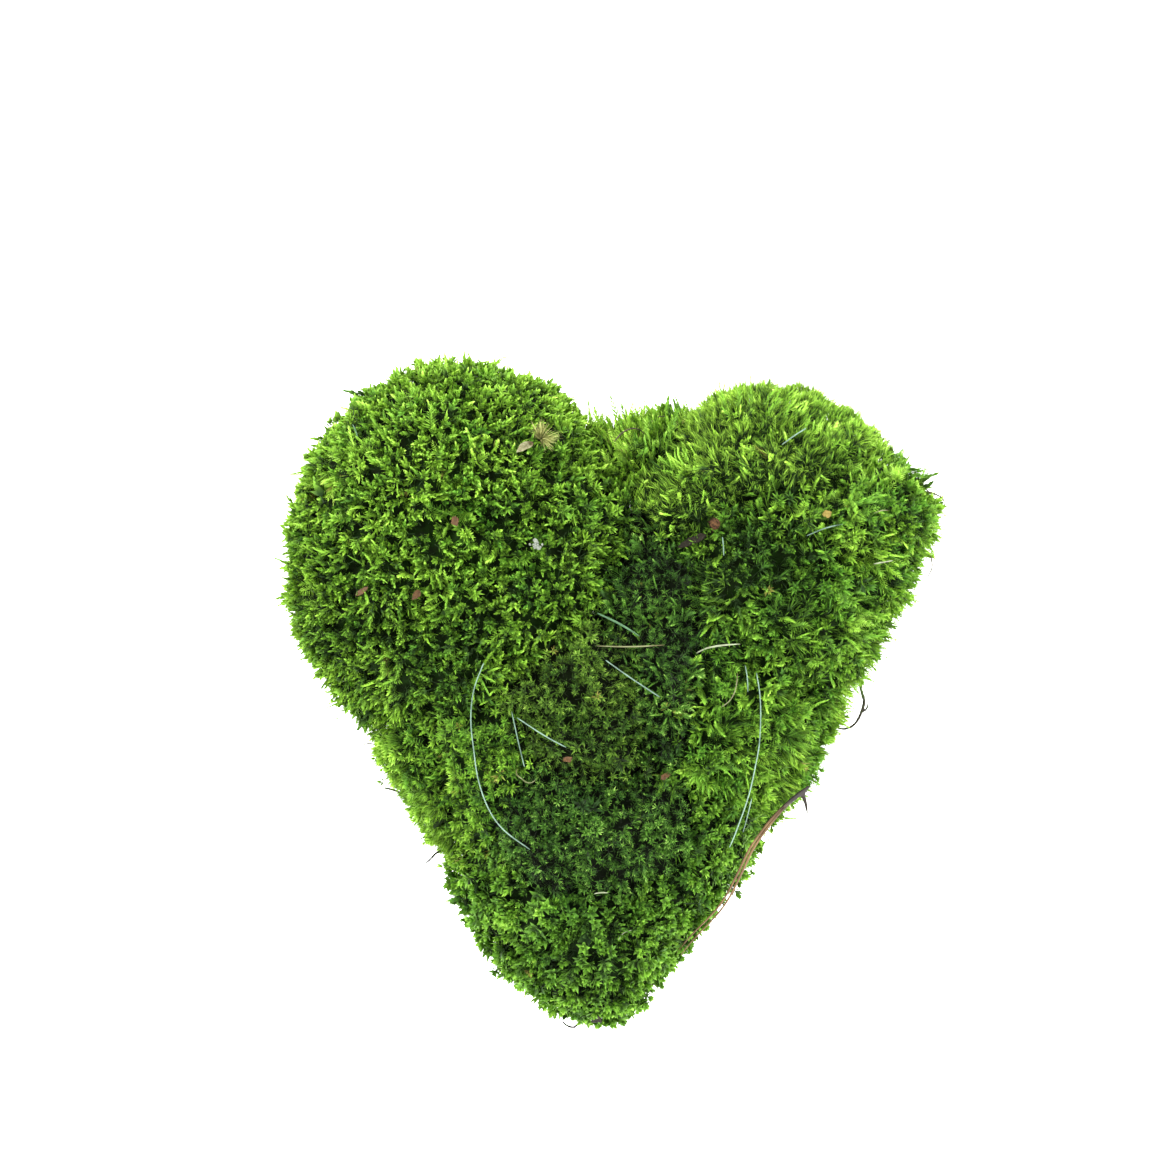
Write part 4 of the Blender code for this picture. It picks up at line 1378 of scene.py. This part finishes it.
ROOTLET = LitterFinish(
    light=(62, 54, 38), dark=(34, 28, 20), speck=(22, 16, 12), underside_shade=(24, 18, 12),
)
BARK = LitterFinish(
    light=(28, 25, 18), dark=(14, 12, 8), speck=(48, 43, 32), underside_shade=(10, 9, 6),
    blotch=1.6, speck_level=0.62, relief=0.25, shine=0.05,
)
MOSSY_BARK = LitterFinish(
    light=(40, 36, 26), dark=(22, 19, 13), speck=(38, 52, 18), underside_shade=(18, 15, 9),
    far_end=(46, 64, 24), blotch=1.6, speck_level=0.58, relief=0.25,
)
SEED = LitterFinish(
    light=(88, 62, 38), dark=(40, 27, 17), speck=(20, 13, 9), underside_shade=(22, 14, 9),
    blotch=0.7, speck_level=0.54, relief=0.4, shine=0.05,
)
RUST = LitterFinish(
    light=(76, 52, 28), dark=(50, 35, 19), speck=(28, 18, 11),
    underside_shade=(34, 23, 14), blotch=1.4, speck_level=0.6,
)
LICHEN = LitterFinish(
    light=(118, 124, 114), dark=(82, 86, 76), speck=(52, 56, 46),
    underside_shade=(50, 54, 44), blotch=0.8, speck_level=0.6, relief=0.3,
)
BUD_SCALE = LitterFinish(
    light=(122, 122, 94), dark=(84, 80, 54), speck=(50, 40, 26),
    underside_shade=(48, 42, 26), far_end=(66, 56, 36), blotch=1.2, speck_level=0.6,
)
PETAL = LitterFinish(
    light=(118, 104, 50), dark=(86, 74, 32), speck=(58, 46, 22),
    underside_shade=(54, 44, 20), blotch=1.0,
)


@dataclass(frozen=True)
class Seat:
    """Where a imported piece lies: its middle, its long, cross and thin axes, and its sizes."""

    centre: np.ndarray
    axes: np.ndarray
    size: np.ndarray

    DECIMALS = 7

    @staticmethod
    def of(node: str) -> "Seat":
        """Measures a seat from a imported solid's points.

        Args:
            node: The solid.

        Returns:
            Its seat, with the thin axis pointing up.
        """
        points, _ = Bench.arrays(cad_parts[node])
        points = np.unique(points.round(Seat.DECIMALS), axis=0)
        _, ways = np.linalg.eigh(np.cov((points - points.mean(0)).T))
        long, out = ways[:, 2], ways[:, 0]
        long = long * (1 if long[1] >= 0 else -1)
        out = out * (1 if out[2] >= 0 else -1)
        axes = np.stack([long, np.cross(out, long), out])
        spread = (points - points.mean(0)) @ axes.T
        low, high = spread.min(0), spread.max(0)
        return Seat(points.mean(0) + (low + high) / 2 @ axes, axes, high - low)

    def take(self, thing: bpy.types.Object) -> None:
        """Sets a piece in its place.

        Args:
            thing: The piece, modelled flat at the origin and in millimetres.
        """
        points, _ = Bench.arrays(thing)
        thing.data.vertices.foreach_set("co", (points * MM @ self.axes + self.centre).ravel())
        thing.data.update()


@dataclass(frozen=True)
class Litter:
    """One loose piece in its packed form, rounded, roughened and finished."""

    node: str
    slot: str
    finish: LitterFinish
    detail: int = 2
    swell: float = 0.05
    roughen: float = 0.05
    grain: float = 0.9

    def form(self) -> bpy.types.Object:
        """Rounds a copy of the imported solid. That takes a little off, so it also swells.

        Returns:
            The rounded copy in its place.
        """
        form = Bench.copied(self.node)
        Bench.modify(form, "SUBSURF", levels=self.detail, render_levels=self.detail)
        points, _ = Bench.arrays(form)
        normals = Ground.point_normals(form)
        rough = [noise.noise(Vector(point) / (self.grain * MM)) for point in points]
        points += normals * ((self.swell + self.roughen * np.array(rough)) * MM)[:, None]
        form.data.vertices.foreach_set("co", points.ravel())
        form.data.update()
        return form

    def build(self) -> bpy.types.Object:
        """Makes the finished piece."""
        return self.dressed(self.form())

    def dressed(self, piece: bpy.types.Object) -> bpy.types.Object:
        """Finishes a modelled form.

        Args:
            piece: The form in its place.

        Returns:
            The same with its attributes, its finish and its place in the clump.
        """
        seat = Seat.of(self.node)
        piece.name = self.node + "_dressed"
        piece.data.name = piece.name
        points, _ = Bench.arrays(piece)
        along = (points - seat.centre) @ seat.axes[0] / seat.size[0] + 0.5
        upward = Ground.point_normals(piece)[:, 2] * 0.5 + 0.5
        for name, values in ((ALONG, along), (UPWARD, upward)):
            layer = piece.data.attributes.new(name, "FLOAT", "POINT")
            layer.data.foreach_set("value", np.clip(values, 0, 1).astype(np.float32))
        piece.data.materials.clear()
        piece.data.materials.append(self.finish.material(piece.name))
        piece.data.shade_smooth()
        return hand_over(piece, self.node)


@dataclass(frozen=True)
class Scrap(Litter):
    """A thin dry scrap that is pointed at its ends, curled and ragged."""

    curl: float = 0.9
    trough: float = 0.5
    thickness: float = 0.22
    ragged: float = 0.26
    end_width: float = 0.3
    seed: int = 1

    COLUMNS = 10
    ROWS = 5
    OVERSIZE = 1.12
    TAPER = ((0.25, 0.82), (0.36, 0.7))
    END = 0.48
    CURL_LEVEL = 0.4
    TROUGH_LEVEL = 0.3

    def form(self) -> bpy.types.Object:
        """Models the scrap flat, curls it and lays it on its seat.

        Returns:
            The scrap in its place.
        """
        seat = Seat.of(self.node)
        length, width, height = seat.size / MM * self.OVERSIZE
        Bench.clear()
        bpy.ops.mesh.primitive_grid_add(
            x_subdivisions=self.COLUMNS, y_subdivisions=self.ROWS, size=1, location=(0, 0, 0)
        )
        scrap = bpy.context.object
        Bench.edit(scrap)
        for reach, narrowed in (*self.TAPER, (self.END, self.end_width)):
            for side in (-1, 1):
                Bench.pick(scrap, lambda place: place.x * side > reach)
                middle = (side * reach, 0, 0)
                bpy.ops.transform.resize(value=(1, narrowed, 1), center_override=middle)
        bpy.ops.mesh.select_all(action="SELECT")
        bpy.ops.transform.resize(value=(length, width, 1), center_override=(0, 0, 0))
        Bench.close()
        rng = np.random.default_rng(self.seed)
        points, _ = Bench.arrays(scrap)
        points[:, :2] += rng.normal(0, self.ragged, (len(points), 2))
        share_x, share_y = points[:, 0] / length * 2, points[:, 1] / width * 2
        points[:, 2] = height * (self.curl * share_x ** 2 - self.CURL_LEVEL) * 0.5
        points[:, 2] += width * self.trough * (share_y ** 2 - self.TROUGH_LEVEL) * 0.5
        points[:, 2] += rng.normal(0, self.ragged * 0.5, len(points))
        scrap.data.vertices.foreach_set("co", points.ravel())
        scrap.data.update()
        Bench.modify(scrap, "SOLIDIFY", thickness=self.thickness, offset=0)
        Bench.modify(scrap, "SUBSURF", levels=1, render_levels=1)
        seat.take(scrap)
        return scrap


@dataclass(frozen=True)
class Crumbs(Litter):
    """Lichen: a heap of small crumpled lobes."""

    count: int = 16
    lobe: tuple[float, float] = (0.5, 1.1)
    seed: int = 5

    LOBE_SHAPE = (1, 0.7, 0.55)
    CRUMPLE = 0.14
    HEAP = (0.8, 0.8, 0.5)

    def form(self) -> bpy.types.Object:
        """Models one lobe, and sets turned copies of it over the seat.

        Returns:
            The heap in its place.
        """
        seat = Seat.of(self.node)
        Bench.clear()
        bpy.ops.mesh.primitive_ico_sphere_add(subdivisions=2, radius=1, location=(0, 0, 0))
        lobe = bpy.context.object
        Bench.edit(lobe)
        bpy.ops.mesh.select_all(action="SELECT")
        bpy.ops.transform.resize(value=self.LOBE_SHAPE, center_override=(0, 0, 0))
        bpy.ops.transform.vertex_random(offset=self.CRUMPLE, seed=self.seed)
        Bench.close()
        points, faces = Bench.arrays(lobe)
        flat = np.zeros(len(points))
        rng = np.random.default_rng(self.seed)
        parts = []
        for _ in range(self.count):
            turned, _ = np.linalg.qr(rng.normal(0, 1, (3, 3)))
            turned *= np.sign(np.linalg.det(turned))
            size = rng.uniform(*self.lobe)
            spot = rng.uniform(-0.5, 0.5, 3) * seat.size / MM * self.HEAP
            parts.append(Pattern(points @ turned * size + spot, faces, flat, flat))
        whole = Pattern.joined(parts)
        Bench.remove(lobe)
        heap = whole.thing(self.node)
        seat.take(heap)
        return heap


@dataclass(frozen=True)
class SeedCap(Litter):
    """A round seed cap, covered in short stiff hairs."""

    hairs: int = 160
    hair_length: tuple[float, float] = (0.8, 1.5)
    seed: int = 8

    HAIR_ROOT = 0.2
    HAIR_WILD = 0.5

    def form(self) -> bpy.types.Object:
        """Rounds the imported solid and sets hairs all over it.

        Returns:
            The hairy cap in its place.
        """
        cap = super().form()
        points, faces = Bench.arrays(cap)
        normals = Ground.point_normals(cap)
        Bench.remove(cap)
        rng = np.random.default_rng(self.seed)
        rows = rng.choice(len(points), self.hairs, replace=False)
        roots = points[rows] - normals[rows] * self.HAIR_ROOT * MM
        growth = Growth.strewn(roots, normals[rows], self.HAIR_WILD, rng)
        growth.length = rng.uniform(*self.hair_length, self.hairs) * MM
        flat = np.zeros(len(points))
        blade = STIFF_HAIR.model()
        blade.points = blade.points[:, [0, 2, 1]]
        blade.faces = blade.faces[:, ::-1]
        hairs = growth.planted(blade, np.arange(self.hairs))
        return Pattern.joined([Pattern(points, faces, flat, flat), hairs]).thing(self.node)


@dataclass(frozen=True)
class DryTuft:
    """A dried tuft of moss leaves in fans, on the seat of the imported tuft."""

    node: str
    slot: str
    fans: tuple[tuple[float, float, float, float], ...]
    foot: tuple[float, float, float] = (0.0, 0.0, 0.0)
    seed: int = 9

    SHADE = 0.95

    def build(self, ground: Ground) -> bpy.types.Object:
        """Plants every fan at the tuft's middle.

        Args:
            ground: The whole clump, with the patterns of its shoots.

        Returns:
            The finished piece.
        """
        foot = Seat.of(self.node).centre + np.array(self.foot) * MM
        rng = np.random.default_rng(self.seed)
        parts = []
        for turn, rise, length, tint in self.fans:
            angle, lift = math.radians(turn), math.radians(rise)
            level, height = math.cos(lift), math.sin(lift)
            way = np.array([math.cos(angle) * level, math.sin(angle) * level, height])
            growth = Growth.strewn(foot[None], way[None], 0.0, rng)
            growth.length = np.array([length * MM])
            growth.tint = np.array([tint])
            growth.shade = np.array([self.SHADE])
            pattern = ground.patterns[Kind.TUFT][rng.integers(PATTERN_VARIANTS)]
            parts.append(growth.planted(pattern, np.array([0])))
        piece = Pattern.joined(parts).thing(self.node + "_dressed", mapped=True)
        piece.data.materials.append(STRAW.material(piece.name, Cushion.LEAF_SHINE))
        return hand_over(piece, self.node)


LITTER = (
    *(
        Litter(f"binding_wire_{number}", "binding_wire", WIRE, swell=0.03, roughen=0.0)
        for number in range(1, 11)
    ),
    Litter("pine_needle_pair", "pine_needle", PINE, swell=0.05, roughen=0.06, grain=2.0),
    Litter("green_needle", "green_needle", FRESH_NEEDLE, swell=0.08, roughen=0.02),
    Litter("lobe_needle", "green_needle", FRESH_NEEDLE, swell=0.05, roughen=0.02),
    Litter("pale_grass_stalk", "dry_stalk", STALK, swell=0.03),
    Litter("curved_stalk", "dry_stalk", FIBRE, swell=0.06),
    Litter("thin_stalk", "dry_stalk", STALK, swell=0.03),
    Litter("lobe_straw", "dry_stalk", STALK, swell=0.03),
    Litter("tip_stalk", "dry_stalk", FIBRE, swell=0.03),
    Litter("root_tangle", "dry_stalk", STALK, swell=0.03, roughen=0.12),
    Litter("cut_straw", "white_fibre", FIBRE, swell=0.04),
    Litter("tip_thread", "white_fibre", FIBRE, swell=0.02),
    Litter("pale_hair", "white_fibre", FIBRE, swell=0.04),
    Litter("notch_rootlet", "rootlet", ROOTLET, swell=0.04, roughen=0.12),
    Litter("notch_fibre", "rootlet", ROOTLET, swell=0.03, roughen=0.10),
    Litter("lobe_curl", "rootlet", ROOTLET, swell=0.06, roughen=0.12),
    Litter("edge_rootlet", "rootlet", ROOTLET, swell=0.04, roughen=0.10),
    Litter("left_rootlet", "rootlet", ROOTLET, swell=0.04, roughen=0.10),
    Litter("side_twig", "bark", MOSSY_BARK, swell=0.12, roughen=0.28, grain=0.7),
    Litter("rim_twig", "bark", MOSSY_BARK, swell=0.14, roughen=0.18, grain=0.6),
    Litter("left_twiglet", "bark", BARK, swell=0.12, roughen=0.22, grain=0.6),
    Litter("tip_twiglet", "bark", BARK, swell=0.12, roughen=0.22, grain=0.6),
    Scrap("bark_flake", "bark", BARK, thickness=0.7, curl=0.3, end_width=0.3, seed=31),
    Scrap("tip_bark_chip", "bark", BARK, thickness=0.8, curl=0.3, end_width=0.6, seed=32),
    Scrap("leaf_scrap_1", "dry_leaf", RUST, end_width=0.25, seed=33),
    Scrap("leaf_scrap_2", "dry_leaf", RUST, seed=34),
    Scrap("leaf_scrap_3", "dry_leaf", RUST, seed=35),
    Scrap("leaf_scrap_4", "dry_leaf", RUST, seed=36),
    Scrap("leaf_scrap_5", "dry_leaf", RUST, seed=37),
    Scrap("dry_bud_scale", "dry_stalk", BUD_SCALE, trough=0.9, end_width=0.2, seed=38),
    Scrap("yellow_petal", "straw", PETAL, curl=0.5, end_width=0.7, seed=39),
    Crumbs("lichen_flake", "lichen", LICHEN),
    SeedCap("seed_cap", "seed_cap", SEED),
)

DRY_TUFT = DryTuft(
    "straw_tuft", "straw", foot=(-3.0, -2.0, -0.6),
    fans=(
        (96, 44, 9.0, 0.25), (74, 58, 8.4, 0.4), (118, 52, 8.0, 0.35), (4, 34, 8.6, 0.7),
        (-28, 38, 8.2, 0.6), (-8, 56, 7.4, 0.5), (24, 48, 7.6, 0.6),
    ),
)


@dataclass(frozen=True)
class Studio:
    """The white table, the soft light from all sides and the camera above. In millimetres."""

    floor_size: float = 3000
    floor_light: tuple[float, float, float] = (0.86, 0.86, 0.85)
    floor_roughness: float = 0.9
    floor_glow: float = 0.35
    camera_height: float = 1250
    outline_height: float = 33
    picture_width: float = 467.2
    picture_centre: tuple[float, float] = (-11.0, 44.4)
    sensor: float = 36.0
    side_lights: int = 4
    first_light: float = 45.0
    light_reach: float = 900
    light_height: float = 420
    light_size: float = 700
    light_power: float = 30.0
    sky: float = 1.52

    def floor(self) -> None:
        """Lays the plain white table."""
        Bench.clear()
        bpy.ops.mesh.primitive_plane_add(size=self.floor_size * MM, location=(0, 0, 0))
        floor = bpy.context.object
        floor.name = "white_table"
        shader = Shader("white_table")
        sheet = shader.add(
            "ShaderNodeBsdfPrincipled", None,
            {
                "Base Color": (*self.floor_light, 1.0), "Roughness": self.floor_roughness,
                "Emission Color": (1.0, 1.0, 1.0, 1.0), "Emission Strength": self.floor_glow,
            },
        )
        floor.data.materials.append(shader.finish(sheet))

    def lights(self) -> None:
        """Sets soft lights round the table and an even sky."""
        for number in range(self.side_lights):
            angle = math.radians(self.first_light + 360 / self.side_lights * number)
            x, y = math.cos(angle) * self.light_reach, math.sin(angle) * self.light_reach
            place = Vector((x, y, self.light_height)) * MM
            data = bpy.data.lights.new(f"soft_light_{number + 1}", "AREA")
            data.shape = "SQUARE"
            data.size = self.light_size * MM
            data.energy = self.light_power
            light = bpy.data.objects.new(data.name, data)
            light.location = place
            light.rotation_mode = "QUATERNION"
            light.rotation_quaternion = (-place).to_track_quat("-Z", "Y")
            bpy.context.collection.objects.link(light)
        world = bpy.data.worlds.new("soft_sky")
        world.use_nodes = True
        background = world.node_tree.nodes["Background"].inputs
        background["Color"].default_value = (1, 1, 1, 1)
        background["Strength"].default_value = self.sky
        bpy.context.scene.world = world

    def camera(self) -> None:
        """Hangs the camera straight above, with the clump where the picture has it."""
        data = bpy.data.cameras.new("camera")
        data.sensor_width = self.sensor
        data.lens = self.sensor * self.camera_height / self.picture_width
        camera = bpy.data.objects.new("camera", data)
        x, y = (self.picture_centre[axis] + HEART_POINT[axis] for axis in (0, 1))
        camera.location = (x * MM, y * MM, (self.camera_height + self.outline_height) * MM)
        bpy.context.collection.objects.link(camera)
        bpy.context.scene.camera = camera

    def build(self) -> None:
        """Sets up the whole studio."""
        self.floor()
        self.lights()
        self.camera()
        bpy.context.scene.view_settings.view_transform = "Standard"


def main() -> None:
    """Builds every piece in order."""
    logging.basicConfig(level=logging.INFO, format="%(name)s: %(message)s")
    Studio().build()
    ground = Ground()
    total = 0
    for cushion in CUSHIONS:
        piece = cushion.build(ground)
        total += len(piece.data.polygons)
        log.info("%s has %d triangles", piece.name, len(piece.data.polygons))
    log.info("all moss has %d triangles", total)
    for piece in (*(item.build() for item in LITTER), DRY_TUFT.build(ground)):
        log.info("%s has %d faces", piece.name, len(piece.data.polygons))


if __name__ == "__main__":
    main()
